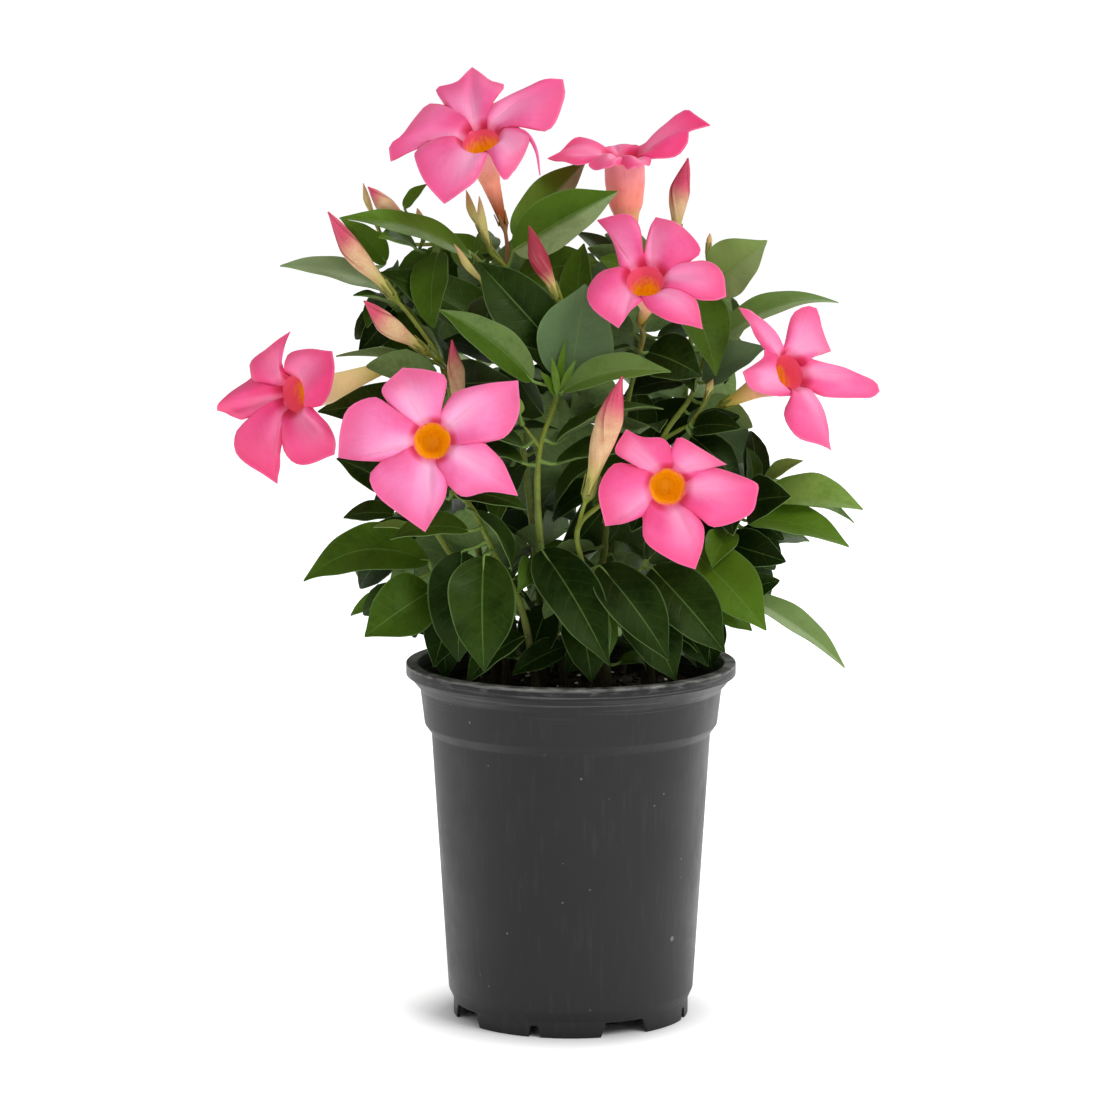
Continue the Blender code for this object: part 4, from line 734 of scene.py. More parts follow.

# heart: middle of the throat. facing: the way it looks. stalk: from the stem to the tube's end.
# funnel: its radius half-way down and at its foot, in millimetres. tips and notches: which points
# of the rim those are. foot_colour and tube_colour: 0 yellow-green or cream, 1 brown or salmon.
# pale: how pale the lobes are, and how strong the painted highlight out from their throat is.
# blush: how far crimson runs down into the orange throat. swollen: millimetres that the soft funnel
# bulges at its foot. rim: the lobes' outline, clockwise in pixels, each with its millimetres forward
# of the flat, or behind the heart where the flower is seen edge-on.
Bloom = namedtuple("Bloom", "stem heart facing stalk funnel tips notches foot_colour tube_colour "
                            "pale blush swollen rim")
BLOOMS = {
    "bloom_top_left": Bloom(
        "top_left", (480, 137, -8), (-0.15, -0.63, 0.76),
        [(507, 268, 4), (507, 245, 6), (503, 222, 10)], (7.2, 5.0), (3, 9, 14, 19, 26),
        (0, 6, 11, 17, 23), 1.0, 0.85, 0.6, 0.36, 0.0,
        [(490, 104, 0), (512, 92, 1), (540, 80, 2), (565, 79, -1), (566, 98, -1),
         (548, 129, 0), (515, 122, 0), (530, 138, 1), (527, 152, -1), (516, 170, -3),
         (503, 178, -3), (488, 152, 0), (479, 177, 0), (461, 192, -2), (443, 203, -4),
         (424, 184, -1), (413, 157, 1), (418, 146, 0), (404, 150, 0), (389, 163, -3),
         (388, 146, -1), (402, 134, 1), (424, 103, 1), (444, 104, 0), (435, 86, 0),
         (458, 80, 1), (472, 66, -3), (490, 77, 1), (505, 84, 0)]),
    "bloom_top_right": Bloom(
        "top_right", (625, 156, 22), (-0.03, -0.02, 1.0),
        [(645, 290, 20), (640, 262, 22), (633, 240, 20)], (8.6, 7.0), (0, 6, 13, 21, 25),
        (4, 8, 19, 23, 27), 0.25, 1.0, 0.05, 0.1, 0.0,
        [(546, 158, -4), (560, 148, 6), (577, 137, 14), (590, 143, 14), (600, 149, 12),
         (606, 149, 22), (617, 150, 30), (632, 148, 26), (642, 146, 14), (660, 137, 16),
         (680, 115, 12), (688, 106, 8), (700, 115, 4), (712, 126, 0), (702, 128, -2),
         (690, 132, -4), (690, 141, -6), (681, 152, -8), (668, 156, -9), (652, 158, -10),
         (650, 164, -16), (640, 167, -23), (628, 167, -24), (622, 164, -17), (612, 167, -24),
         (600, 168, -24), (588, 166, -19), (592, 161, -11), (575, 164, -13), (560, 163, -10)]),
    "bloom_centre_right": Bloom(
        "centre_right", (645, 278, -40), (-0.05, -0.78, 0.62),
        [(640, 352, -6), (644, 336, -9), (641, 322, -13)], (6.0, 3.0), (2, 8, 12, 17, 23),
        (0, 5, 10, 15, 21), 0.5, 0.6, 0.35, 0.48, 0.0,
        [(643, 257, 0), (648, 232, 0), (656, 216, -3), (683, 224, 1), (702, 249, 0),
         (690, 262, 0), (706, 260, 1), (724, 273, 0), (728, 296, -3), (705, 301, 0),
         (684, 294, 0), (698, 302, 0), (704, 329, -3), (672, 323, 0), (650, 311, 0),
         (642, 301, 0), (629, 312, 0), (618, 330, -3), (591, 309, 0), (586, 290, 0),
         (598, 272, 0), (619, 266, 0), (612, 241, 0), (596, 219, -3), (627, 211, 0),
         (640, 226, 0)]),
    "bloom_left": Bloom(
        "left_flowers", (290, 395, -22), (-0.7, -0.71, -0.05),
        [(446, 368, -6), (428, 360, 0), (402, 361, 6)], (5.4, 3.4), (3, 8, 13, 19, 25),
        (0, 6, 11, 17, 22), 0.1, 0.15, 0.0, 0.56, 3.0,
        [(284, 372, 0), (287, 354, 0), (306, 348, 1), (334, 350, -3), (335, 375, 0),
         (323, 404, 0), (312, 408, 0), (336, 436, 0), (335, 456, -3), (301, 467, 0),
         (284, 452, 0), (282, 430, 0), (281, 458, 0), (275, 486, -3), (262, 477, 0),
         (236, 455, 0), (236, 433, 0), (250, 418, 0), (238, 420, 0), (216, 411, -3),
         (219, 402, 0), (236, 387, 0), (250, 377, 0), (248, 362, 0), (266, 347, 0),
         (291, 330, -3), (280, 352, 0)]),
    "bloom_front_left": Bloom(
        "left_flowers", (432, 441, -62), (0.0, -0.98, 0.15),
        [(446, 368, -6), (440, 392, -12), (436, 420, -18)], (6.0, 3.0), (3, 9, 15, 21, 27),
        (0, 6, 12, 19, 25), 0.3, 0.4, 1.0, 0.06, 0.0,
        [(441, 411, 0), (455, 392, 0), (484, 383, 1), (520, 379, -3), (521, 412, -1),
         (508, 436, 0), (486, 443, 0), (503, 460, 0), (512, 478, 0), (520, 497, -3),
         (490, 493, 0), (464, 498, 0), (448, 486, 0), (445, 500, 0), (437, 514, 0),
         (425, 534, -4), (404, 519, 0), (377, 498, 0), (368, 477, 0), (380, 462, 0),
         (356, 461, 0), (336, 458, -3), (338, 430, 0), (347, 407, 0), (372, 396, 0),
         (388, 404, 0), (381, 387, 0), (402, 366, -3), (430, 369, 0), (447, 378, 0)]),
    "bloom_front_right": Bloom(
        "front_right", (668, 487, -64), (0.05, -0.98, 0.12),
        [(606, 500, -38), (632, 502, -14), (651, 494, -11), (655, 492, -22)], (6.0, 3.0),
        (3, 7, 13, 18, 23), (0, 4, 10, 16, 21), 0.3, 0.4, 0.35, 0.12, 0.0,
        [(672, 447, 0), (680, 436, 0), (704, 449, 0), (728, 464, -3), (706, 469, 0),
         (720, 468, 0), (757, 482, 0), (760, 492, -3), (752, 515, 0), (716, 528, 0),
         (699, 517, 0), (705, 530, 0), (703, 550, 0), (696, 571, -3), (674, 563, 0),
         (645, 543, 0), (642, 517, 0), (624, 524, 0), (604, 527, -3), (597, 490, 0),
         (612, 464, 0), (634, 464, 0), (614, 451, 0), (625, 428, -3), (642, 436, 0),
         (662, 437, 0)]),
    "bloom_right": Bloom(
        "right_flowers", (793, 370, -16), (0.6, -0.7, 0.38),
        [(690, 424, -4), (706, 414, -2), (724, 405, 0)], (6.0, 3.0), (4, 8, 13, 20, 24),
        (0, 5, 11, 17, 22), 0.2, 0.6, 0.4, 0.64, 2.4,
        [(784, 348, 0), (794, 312, 0), (814, 306, 0), (822, 328, 0), (832, 351, -3),
         (811, 358, 0), (850, 370, 1), (877, 381, -1), (883, 391, -1), (872, 398, -1),
         (828, 398, 0), (812, 391, 0), (829, 424, 0), (832, 452, -3), (818, 446, 0),
         (796, 438, 0), (785, 415, 0), (792, 396, 0), (775, 396, 0), (748, 388, -2),
         (741, 372, 0), (762, 358, 0), (764, 348, 0), (749, 326, 0), (738, 306, -3),
         (754, 310, 0), (767, 328, 0)]),
}

# A narrow curled strip of one bloom's lower right lobe: across, down on the photograph
CURLED_EDGES = {"bloom_top_left": ((511, 129), (526, 134), (536, 150), (540, 175))}
CURL_THICK = 0.0013


def seen_on_plane(across, down, middle, facing):
    """World place where the pixel's line of sight meets the plane through middle."""
    way = view_ray(across, down)
    return VIEW_POINT + way * ((middle - VIEW_POINT).dot(facing) / way.dot(facing))


def smoothed(values):
    """Running mean of five values with the weights 1, 2, 4, 2 and 1."""
    return np.convolve(np.pad(values, 2, mode="edge"), (0.1, 0.2, 0.4, 0.2, 0.1), "valid")


def curve_through(points, count):
    """count points along the Catmull-Rom curve through the points, evenly spaced."""
    line = smooth_path(points, 0.0004)
    reach = np.concatenate([[0], np.cumsum(np.linalg.norm(np.diff(line, axis=0), axis=1))])
    wanted = np.linspace(0, reach[-1], count)
    return np.stack([np.interp(wanted, reach, line[:, k]) for k in range(3)], -1)


def lobe_body(before, after, middle, facing, turns, seed):
    """One lobe of a corolla between two notches, with the marks of its points.

    Straight lines run from the throat's circle out to the edge curve, at shares t from 0 to 1 and
    places s from 0 to 1 round the lobe. Each point is lifted along the flower's facing by
    swell 4t(1-t) + tilt (2s-1)(1-t) + dome - furrow + waves, so the clockwise side lies over the
    next lobe. A lobe seen shorter than FULL_LOBE has less of each."""
    edge = np.vstack([curve_through(before, LOBE_HALF), curve_through(after, LOBE_HALF)[1:]])
    edge = middle + (edge - middle) * LOBE_SHARE
    s = np.linspace(0, 1, len(edge))[None, :, None]
    t = np.linspace(0, 1, LOBE_ROWS)[:, None, None] ** 0.9
    start = unit(edge[0] - middle - facing * (edge[0] - middle).dot(facing))
    cross = np.cross(facing, start)
    turn = np.linspace(turns[0], turns[1], len(edge))[:, None]
    ring = middle + LOBE_FOOT_RADIUS * (start * np.cos(turn) - cross * np.sin(turn))
    points = ring + (edge - ring) * t
    reach = np.linalg.norm(edge - ring, axis=-1)[None, :, None]
    size = np.clip(reach / FULL_LOBE, 0, 1)
    phase = seed * 1.7
    swell = PETAL_SWELL * size * 4 * t * (1 - t)
    tilt = LOBE_TILT * (2 * s - 1) * (1 - t) ** 1.3 * np.clip(t * 6, 0, 1)
    dome = LOBE_DOME * np.sin(math.pi * s) * np.sin(math.pi * np.clip(t * 1.1, 0, 1))
    dome = dome * (0.6 + 0.4 * math.sin(phase))
    furrow = -LOBE_FURROW * np.exp(-((s - FURROW_PLACE) / FURROW_WIDTH) ** 2) \
        * np.sin(math.pi * np.clip(t * 1.25, 0, 1))
    wave = LOBE_WAVE * np.sin(2 * math.pi * (1.6 * s + 0.7 * t) + phase) * t
    wave = wave + LOBE_FINE_WAVE * np.sin(2 * math.pi * (4.1 * s) + 2 * phase) * t ** 2
    mouth = -LOBE_FOOT_DEPTH * (1 - np.clip(t * reach / LOBE_FLARE, 0, 1)) ** 2
    points = points + facing * (swell + tilt + size * (dome + furrow + wave) + mouth)
    marks = {"reach": t * reach / 0.03, "out": t, "across": s}
    marks = {name: np.tile(np.broadcast_to(value, (*points.shape[:2], 1)).ravel(), 2)
             for name, value in marks.items()}
    return sheet_body(points, points - facing * PETAL_THICK), marks


petal, tree, shader, place = finish("petal", Specular_IOR_Level=0.25, Sheen_Weight=0.15,
                                    Sheen_Roughness=0.5, Subsurface_Weight=0.12,
                                    Subsurface_Scale=0.004)
reach, out, across, tone, pale = marked(tree, "reach", "out", "across", "tone", "pale")
cloud = mottled(tree, place, 60.0, 0.3)
lines = node(tree, "CombineXYZ", {0: times(tree, across, 46.0), 1: times(tree, out, 2.2), 2: tone})
streak = noise(tree, lines.outputs[0], 1.0)
from_rib = distance(tree, across, 0.40)
# Painted highlight: a pale wedge from the throat out along the middle of each lobe, stronger on
# paler blooms
highlight_wedge = times(tree, ramp(tree, from_rib, 0.36, 0.02), ramp(tree, reach, 1.0, 0.15))
highlight_wedge = times(tree, highlight_wedge, sums(tree, "MULTIPLY_ADD", pale, 0.45, 0.35))
deep_end = times(tree, ramp(tree, sums(tree, "MULTIPLY_ADD", cloud, 0.35, out), 0.72, 1.28), 0.55)
# Painted shade: deeper pink along the clockwise side of each lobe near the throat, where the lobes
# overlap; the deeper pink at the tips (deep_end) is the lobes' own colour
overlap_shade = times(tree, ramp(tree, across, 0.62, 1.0, 0.0, 0.55), ramp(tree, reach, 0.9, 0.2))
throat_rim = times(tree, ramp(tree, reach, 0.12, 0.02),
                   ramp(tree, from_rib, 0.08, 0.40, 0.35, 0.95))
colour = blend(tree, pale, blend(tree, cloud, (236, 50, 118), (244, 76, 144)),
               blend(tree, cloud, (242, 106, 168), (248, 138, 192)))
colour = coats(tree, colour, (highlight_wedge, (252, 180, 214)),
               (sums(tree, "MAXIMUM", deep_end, overlap_shade), (226, 40, 100)),
               (ramp(tree, streak, 0.45, 0.75, 0.0, 0.10), (218, 44, 112)),
               (throat_rim, (206, 26, 72)),
               # Painted highlight: a thin pale line along the lobes' outer edge
               (ramp(tree, out, 0.955, 0.99, 0.0, 0.2), (244, 158, 200)))
feed(tree, shader, colour, ramp(tree, cloud, 0.0, 1.0, 0.48, 0.62), streak, 0.2, 0.0003)

# The whole funnel glows a little, a painted glow that stands in for daylight coming through the thin
# petal: the lining in its orange throat colour where it is not blushed, the rest at under half of
# its own colour
corolla_tube, tree, shader, place = finish(
    "corolla_tube", Specular_IOR_Level=0.3, Roughness=0.5, Subsurface_Weight=0.1,
    Subsurface_Scale=0.003, Emission_Strength=0.26)
along, inside, foot_warmth, warmth, blush = marked(
    tree, "along", "inside", "foot_warmth", "warmth", "blush")
cloud = mottled(tree, place, 120.0, 0.4)
streak = noise(tree, place, 900.0, 2.0, (1.0, 1.0, 0.15))
colour = coats(tree, blend(tree, foot_warmth, (196, 188, 80), (150, 78, 36)),
               (ramp(tree, along, 0.10, 0.50),
                blend(tree, warmth, (238, 220, 152), (244, 142, 126))),
               (ramp(tree, along, 0.55, 0.98),
                blend(tree, warmth, (244, 206, 184), (248, 156, 166))),
               (times(tree, ramp(tree, streak, 0.5, 0.7),
                      sums(tree, "MULTIPLY_ADD", warmth, 0.35, 0.03)), (226, 104, 100)))
throat = coats(tree, blend(tree, cloud, (216, 152, 0), (230, 168, 6)),
               (ramp(tree, streak, 0.45, 0.7, 0.0, 0.5), (206, 104, 6)),
               (ramp(tree, along, 0.85, 1.0, 0.0, 0.6), (232, 96, 40)))
fingers = sums(tree, "MULTIPLY_ADD", streak, 0.5, -0.25)
blushed = ramp(tree, sums(tree, "ADD", fingers, sums(tree, "ADD", along, blush)), 0.70, 1.20, 0.0,
               0.9)
colour = blend(tree, inside, colour, blend(tree, blushed, throat, (232, 72, 132)))
lit = times(tree, inside, sums(tree, "SUBTRACT", 1.0, blushed))
glow = blend(tree, lit, blend(tree, 0.45, (0, 0, 0), colour), throat)
tree.links.new(glow, shader.inputs["Emission Color"])
feed(tree, shader, colour, None, streak, 0.2, 0.0002)


def stalk_body(points, toward, end_radius):
    """Smooth stalk through the points that swells into a calyx and ends facing toward."""
    line = smooth_path(points[:-1] + [points[-1] - toward * STALK_STRAIGHT, points[-1]], STALK_STEP)
    left = np.linalg.norm(line - line[-1], axis=1)
    thin = STALK_RADIUS * STALK_SHARE
    thick = thin + (end_radius - thin) * np.clip(1 - (left - 0.001) / 0.004, 0, 1) ** 1.6
    return ring_body(rings_along(line, thick, STEM_SIDES))


def square_to(way):
    """Two unit vectors square to the way and to each other."""
    side = unit(np.cross(way, np.eye(3)[np.argmin(np.abs(way))]))
    return side, np.cross(side, way)


def add_sepals(pile, foot, way, radius, length, flare, warmth):
    """Five small pointed green leaves round the foot of a flower.

    At share t along, each is radius (1 + flare t) from the axis and wide (1-t)^0.8 t^0.15."""
    side, up = square_to(np.array(way))
    t = np.linspace(0.0, 1.0, 8)[:, None]
    s = np.linspace(-1, 1, 5)[None, :]
    width = 0.58 * (0.02 + (t + 0.02) ** 0.15 * (1 - t) ** 0.8)
    axis = np.array(foot) + np.array(way) * (t * length)[..., None]
    away = radius * (1.08 + flare * t ** 1.5) + 0.0002 * (1 - s ** 2)
    for k in range(SEPALS):
        turn = 2 * math.pi * k / SEPALS + s * width
        round_way = side * np.cos(turn)[..., None] + up * np.sin(turn)[..., None]
        grid = axis + round_way * away[..., None]
        inner = axis + (grid - axis) * (1 - SEPAL_THICK / away)[..., None]
        pile.add(sheet_body(grid, inner), age=0.0, warmth=warmth)


def rim_places(bloom, middle, facing):
    """World places of the points of a bloom's rim."""
    if abs(facing.dot((middle - VIEW_POINT).normalized())) < EDGE_ON:
        return [seen((a, d, bloom.heart[2] + rise)) for a, d, rise in bloom.rim]
    return [seen_on_plane(a, d, middle + facing * (rise * MM), facing) for a, d, rise in bloom.rim]


def make_corolla(name, bloom, middle, facing):
    """The five lobes of a bloom, and its curled strip if it has one."""
    rim = rim_places(bloom, middle, facing)
    count = len(rim)
    centre, ahead = np.array(middle), np.array(facing)
    pile = Pile()
    for k, tip in enumerate(bloom.tips):
        before = min((tip - notch) % count for notch in bloom.notches)
        after = min((notch - tip) % count for notch in bloom.notches)
        to_tip = [rim[i % count] for i in range(tip - before, tip + 1)]
        from_tip = [rim[i % count] for i in range(tip, tip + after + 1)]
        first, last = (unit(np.array(p - middle) - ahead * (p - middle).dot(facing))
                       for p in (to_tip[0], from_tip[-1]))
        span = -math.atan2(last @ np.cross(ahead, first), last @ first) % (2 * math.pi)
        seed = k + len(name)
        body, marks = lobe_body(to_tip, from_tip, centre, ahead,
                                (-LOBE_OVERLAP, span + LOBE_OVERLAP), seed)
        pile.add(body, tone=0.37 * k + 0.11 * len(name), pale=bloom.pale, **marks)
    if name in CURLED_EDGES:
        curl = smooth_path([seen_on_plane(a, d, middle, facing) for a, d in CURLED_EDGES[name]],
                           0.0008)
        thick = CURL_THICK * (1 - 0.75 * np.linspace(0, 1, len(curl)))
        pile.add(ring_body(rings_along(curl, thick, 10)), tone=0.2, pale=bloom.pale, reach=0.5,
                 out=0.6, across=0.75)
    return pile.make("corolla_" + name[6:], petal, PETAL_CREASE)


def make_funnel(name, bloom, middle, facing, end):
    """The funnel and narrow tube of a bloom, from the calyx to the throat, with the lining of the
    part that can be looked into. Its radius is interpolated along it and has five low ribs."""
    bend = middle - facing * FUNNEL_LENGTH
    tube_way = (end - bend).normalized()
    line = smooth_path([end - tube_way * SEAT_GAP, bend.lerp(end, 0.5), bend,
                        middle - facing * (FUNNEL_LENGTH / 2), middle - facing * THROAT_DROP],
                       FUNNEL_STEP)
    left = np.linalg.norm(line - np.array(middle), axis=1)
    share = np.clip(1 - left / FUNNEL_LENGTH, 0, 1)
    half_way = (bloom.funnel[0] + bloom.swollen * 0.6) * MM
    foot = (bloom.funnel[1] + bloom.swollen) * MM
    outer = np.interp(share, (0.0, 0.5, FUNNEL_NECK_PLACE, 1.0),
                      (foot, half_way, FUNNEL_NECK, FUNNEL_TOP))
    to_foot = np.clip((left - FUNNEL_LENGTH) / max(0.004, left[0] - FUNNEL_LENGTH), 0, 1)
    outer = smoothed(outer + (TUBE_END_RADIUS - foot) * to_foot ** TUBE_TAPER)
    turns = np.linspace(0, 2 * math.pi, FUNNEL_SIDES, endpoint=False)
    ribs = 1 + FUNNEL_RIBS * np.cos(5 * turns)[None, :] * np.minimum(share * 3, 1)[:, None]
    shell = rings_along(line, outer[:, None] * ribs, FUNNEL_SIDES)
    lining = rings_along(line, np.maximum(outer - FUNNEL_WALL, 0.0004)[:, None] * ribs,
                         FUNNEL_SIDES)[left < FUNNEL_FLOOR][::-1]
    rings = np.concatenate([shell, lining])
    along = np.concatenate([np.linspace(0, 1, len(line)), np.linspace(1, 0, len(lining))])
    return single("tube_" + name[6:], ring_body(rings), corolla_tube,
                  along=ring_marks(along, FUNNEL_SIDES), warmth=bloom.tube_colour,
                  inside=ring_marks(np.arange(len(rings)) >= len(line), FUNNEL_SIDES),
                  foot_warmth=bloom.foot_colour, blush=bloom.blush)


def make_stalk(name, points, toward, calyx, warmth, sepal_foot, sepal_shape):
    """A stalk with its calyx and sepals. Their shape: length, flare and warmth of colour."""
    pile = Pile()
    pile.add(stalk_body(points, toward, calyx), age=0.0, warmth=warmth)
    add_sepals(pile, sepal_foot, toward, calyx, *sepal_shape)
    return pile.make("stalk_" + name, stem_skin, CALYX_CREASE)


for name, bloom in BLOOMS.items():
    middle, facing = seen(bloom.heart), Vector(bloom.facing).normalized()
    end = seen(bloom.stalk[-1])
    tube_way = (end - (middle - facing * FUNNEL_LENGTH)).normalized()
    stands_for(make_corolla(name, bloom, middle, facing), name)
    stands_for(make_funnel(name, bloom, middle, facing, end), name)
    warmth = bloom.foot_colour
    stalk = make_stalk(name, [seen(s) for s in bloom.stalk], -tube_way, CALYX_RADIUS, warmth,
                       end + tube_way * SEPAL_FOOT, (SEPAL_LENGTH, SEPAL_FLARE, warmth))
    stands_for(stalk, "leafy_stem_" + bloom.stem)

# The buds
# Rolled corollas that have not opened: soft spindles whose five folded lobes wind round each other
# to a point, pink where they are ready and yellow-green while young, each on a thin green stalk.
BUD_CALYX_SHARE = 0.42
BUD_CALYX_LEAST = STALK_RADIUS * 1.15
BUD_CREASE = math.radians(70)
BUD_ROWS = 34
BUD_SIDES = 40
BUD_FOLDS = 3
BUD_FOLD_DEPTH = 0.16
BUD_TWIST = 2.4
BUD_BOW = 0.04
BUD_STALK_WARMTH = 0.2
BUD_SEPAL_FOOT = 0.001
BUD_SEPAL_LENGTH = 0.0035
BUD_SEPAL_GROWTH = 0.9
BUD_SEPAL_LOOK = (0.2, 0.3)

# The rolled shape: its radius, as a share of the widest, at these shares of its length
BUD_PLACES = (0.0, 0.06, 0.18, 0.42, 0.62, 0.84, 0.94, 1.0)
BUD_SHARES = (0.30, 0.36, 0.43, 0.84, 0.98, 0.50, 0.22, 0.05)

# tip and foot: the ends of the rolled petals. wide: pixels. ripe: 0 a green young one, 1 ready to
# open, above that a darker red one. stalk: from the stem to near the foot
Bud = namedtuple("Bud", "stem tip foot wide ripe stalk")
BUDS = {
    "bud_left_long": Bud("left_flowers", (328, 212, -24), (392, 295, -16), 24, 0.92,
        [(446, 368, -6), (432, 346, -10), (410, 316, -14)]),
    "bud_left_short": Bud("left_flowers", (364, 301, -44), (424, 350, -26), 24, 0.82,
        [(446, 368, -6), (440, 362, -20)]),
    "bud_behind_bloom": Bud("left_flowers", (452, 340, -36), (461, 424, -26), 20, 0.7,
        [(456, 430, 0), (462, 436, -14)]),
    "bud_right_top": Bud("top_right", (688, 158, 12), (675, 240, 16), 23, 1.05,
        [(672, 262, 20), (673, 252, 18)]),
    "bud_slender": Bud("top_left", (454, 244, -20), (488, 288, -12), 9, 0.1,
        [(510, 325, 6), (498, 306, -6)]),
    "bud_middle_red": Bud("middle_shoot", (529, 226, -30), (558, 298, -24), 22, 1.5,
        [(566, 345, -24), (562, 318, -24)]),
    "bud_front_large": Bud("front_right", (622, 377, -74), (588, 494, -58), 31, 0.85,
        [(578, 528, -42), (582, 512, -54)]),
    "bud_left_pink": Bud("top_left", (368, 187, -6), (410, 224, 2), 20, 0.7,
        [(424, 238, 10), (418, 232, 6)]),
    "bud_left_upright": Bud("top_left", (363, 183, 14), (376, 222, 14), 8, 0.3,
        [(444, 244, 12), (410, 244, 20), (384, 236, 16)]),
    "bud_left_small": Bud("top_left", (417, 208, 18), (426, 230, 18), 9, 0.3,
        [(444, 244, 12), (434, 240, 17)]),
    "bud_young_left": Bud("top_left", (466, 190, 14), (482, 234, 10), 10, 0.05,
        [(507, 268, 4), (493, 250, 8)]),
    "bud_young_right": Bud("top_left", (479, 196, -8), (490, 248, -4), 10, 0.05,
        [(507, 268, 4), (496, 258, -2)]),
    "bud_right_tiny": Bud("top_right", (710, 233, 24), (708, 252, 22), 7, 0.4,
        [(708, 282, 12), (708, 264, 18)]),
    "bud_right_small": Bud("right_flowers", (713, 379, -4), (706, 399, -4), 9, 0.0,
        [(690, 424, -4), (700, 410, -5)]),
}

bud_petal, tree, shader, place = finish("bud_petal", Specular_IOR_Level=0.3,
                                        Subsurface_Weight=0.08, Subsurface_Scale=0.003)
along, fold, ripe = marked(tree, "along", "fold", "ripe")
cloud = mottled(tree, place, 150.0, 0.5)
lines = node(tree, "CombineXYZ", {0: times(tree, fold, 9.0), 1: times(tree, along, 2.0), 2: ripe})
streak = noise(tree, lines.outputs[0], 1.0)
young = coats(tree, blend(tree, cloud, (164, 164, 80), (198, 186, 114)),
              (ramp(tree, along, 0.5, 1.0), (190, 148, 104)))
redder = sums(tree, "MULTIPLY_ADD", ripe, 0.6, sums(tree, "SUBTRACT", along, 0.6))
rosy = coats(tree, blend(tree, cloud, (186, 44, 82), (206, 76, 106)),
             (ramp(tree, ripe, 1.05, 1.5, 0.0, 0.75), (134, 30, 38)))
crease = times(tree, ramp(tree, fold, 0.26, 0.0), ramp(tree, redder, 0.22, 0.60))
ripened = coats(tree, blend(tree, ramp(tree, along, 0.08, 0.40), (182, 180, 90),
                            blend(tree, cloud, (204, 148, 112), (220, 188, 142))),
                (ramp(tree, redder, 0.44, 0.74), rosy),
                (ramp(tree, streak, 0.48, 0.75, 0.0, 0.35), (214, 128, 122)),
                (times(tree, crease, 0.85), (140, 8, 44)))
feed(tree, shader, blend(tree, ramp(tree, ripe, 0.12, 0.55), young, ripened),
     ramp(tree, cloud, 0.0, 1.0, 0.42, 0.58), streak, 0.4, 0.0003)


def bud_body(foot, tip, radius):
    """Rolled spindle: r = radius size(t) (1 - BUD_FOLD_DEPTH f), where f runs from 0 to 1 across
    each fold and the folds wind round by BUD_TWIST from foot to tip."""
    t = np.linspace(0, 1, BUD_ROWS)
    size = smoothed(np.interp(t, BUD_PLACES, BUD_SHARES))
    turns = np.arange(BUD_SIDES) / BUD_SIDES
    fold = (turns * BUD_FOLDS) % 1.0
    path = foot[None, :] + (tip - foot)[None, :] * t[:, None]
    side, up = square_to(unit(tip - foot))
    angle = 2 * math.pi * turns[None, :] + BUD_TWIST * t[:, None] ** 1.2
    sunk = BUD_FOLD_DEPTH * fold[None, :] * np.minimum(t * 4, 1)[:, None]
    thick = radius * size[:, None] * (1 - sunk)
    bow = side * (BUD_BOW * np.linalg.norm(tip - foot) * np.sin(math.pi * t) ** 2)[:, None]
    grid = (path + bow)[:, None] + (side * np.cos(angle)[..., None]
                                    + up * np.sin(angle)[..., None]) * thick[..., None]
    marks = {"along": ring_marks(t, BUD_SIDES),
             "fold": np.append(np.tile(fold, BUD_ROWS), [0.5, 0.5])}
    return ring_body(grid), marks


for name, bud in BUDS.items():
    foot, tip = seen(bud.foot), seen(bud.tip)
    way = (tip - foot).normalized()
    radius = bud.wide / 2 * VIEW_PIXEL * (foot - VIEW_POINT).length
    foot = foot + way * SEAT_GAP
    body, marks = bud_body(np.array(foot), np.array(tip), radius)
    rolled = single("rolled_" + name[4:], body, bud_petal, BUD_CREASE, ripe=bud.ripe, **marks)
    stands_for(rolled, name)
    calyx = max(radius * BUD_CALYX_SHARE, BUD_CALYX_LEAST)
    sepal = (BUD_SEPAL_LENGTH + radius * BUD_SEPAL_GROWTH, *BUD_SEPAL_LOOK)
    stalk = make_stalk(name, [seen(s) for s in bud.stalk + [bud.foot]], way, calyx,
                       BUD_STALK_WARMTH, foot - way * BUD_SEPAL_FOOT, sepal)
    stands_for(stalk, "leafy_stem_" + bud.stem)

# The leaves
# Opposite pairs of glossy oval leaves on short petioles, each ending in a point, with a pale midrib
# and curved side veins. They are folded a little along the midrib and hang in an arch.
BLADE = 0.0008
BLADE_THICK = 0.0004
RIB_THICK = 0.0004
LEAF_FOLD = 0.30
TIP_NARROWING = 0.35
NARROW_FROM = 0.70
LEAF_WIDEST = 0.391
LEAF_WAVES = 0.05
LEAST_HALF_WIDTH = 0.0003
QUILTING = 0.014
LEAF_DROOP = 0.02
SIDE_VEINS = 8.0
VEIN_SLANT = 0.20
LEAF_GRIDS = {"seen": (40, 13), "grown": (14, 7)}
LEAF_CREASE = math.radians(50)
PETIOLE_RADIUS = 0.00085
PETIOLE_SIDES = 8
PETIOLE_STEP = 0.0018
PETIOLE_REACH = 0.16
PETIOLE_LOOK = {"tint": 0.9, "silver": 0.0, "across": 0.03, "along": 0.3, "under": 0.3}
SAME_PLACE = 0.00004

# A seen leaf may be moved by these millimetres and turned by these degrees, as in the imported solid
LEAF_SHIFTS = (0, 4, -4, 8, -8, 12, -12, 17, -17, 23, -23, 30, -30)
LEAF_FOOT_SHIFT_SHARE = 0.3
LEAF_TURNS = (0, 12, -12, 24)

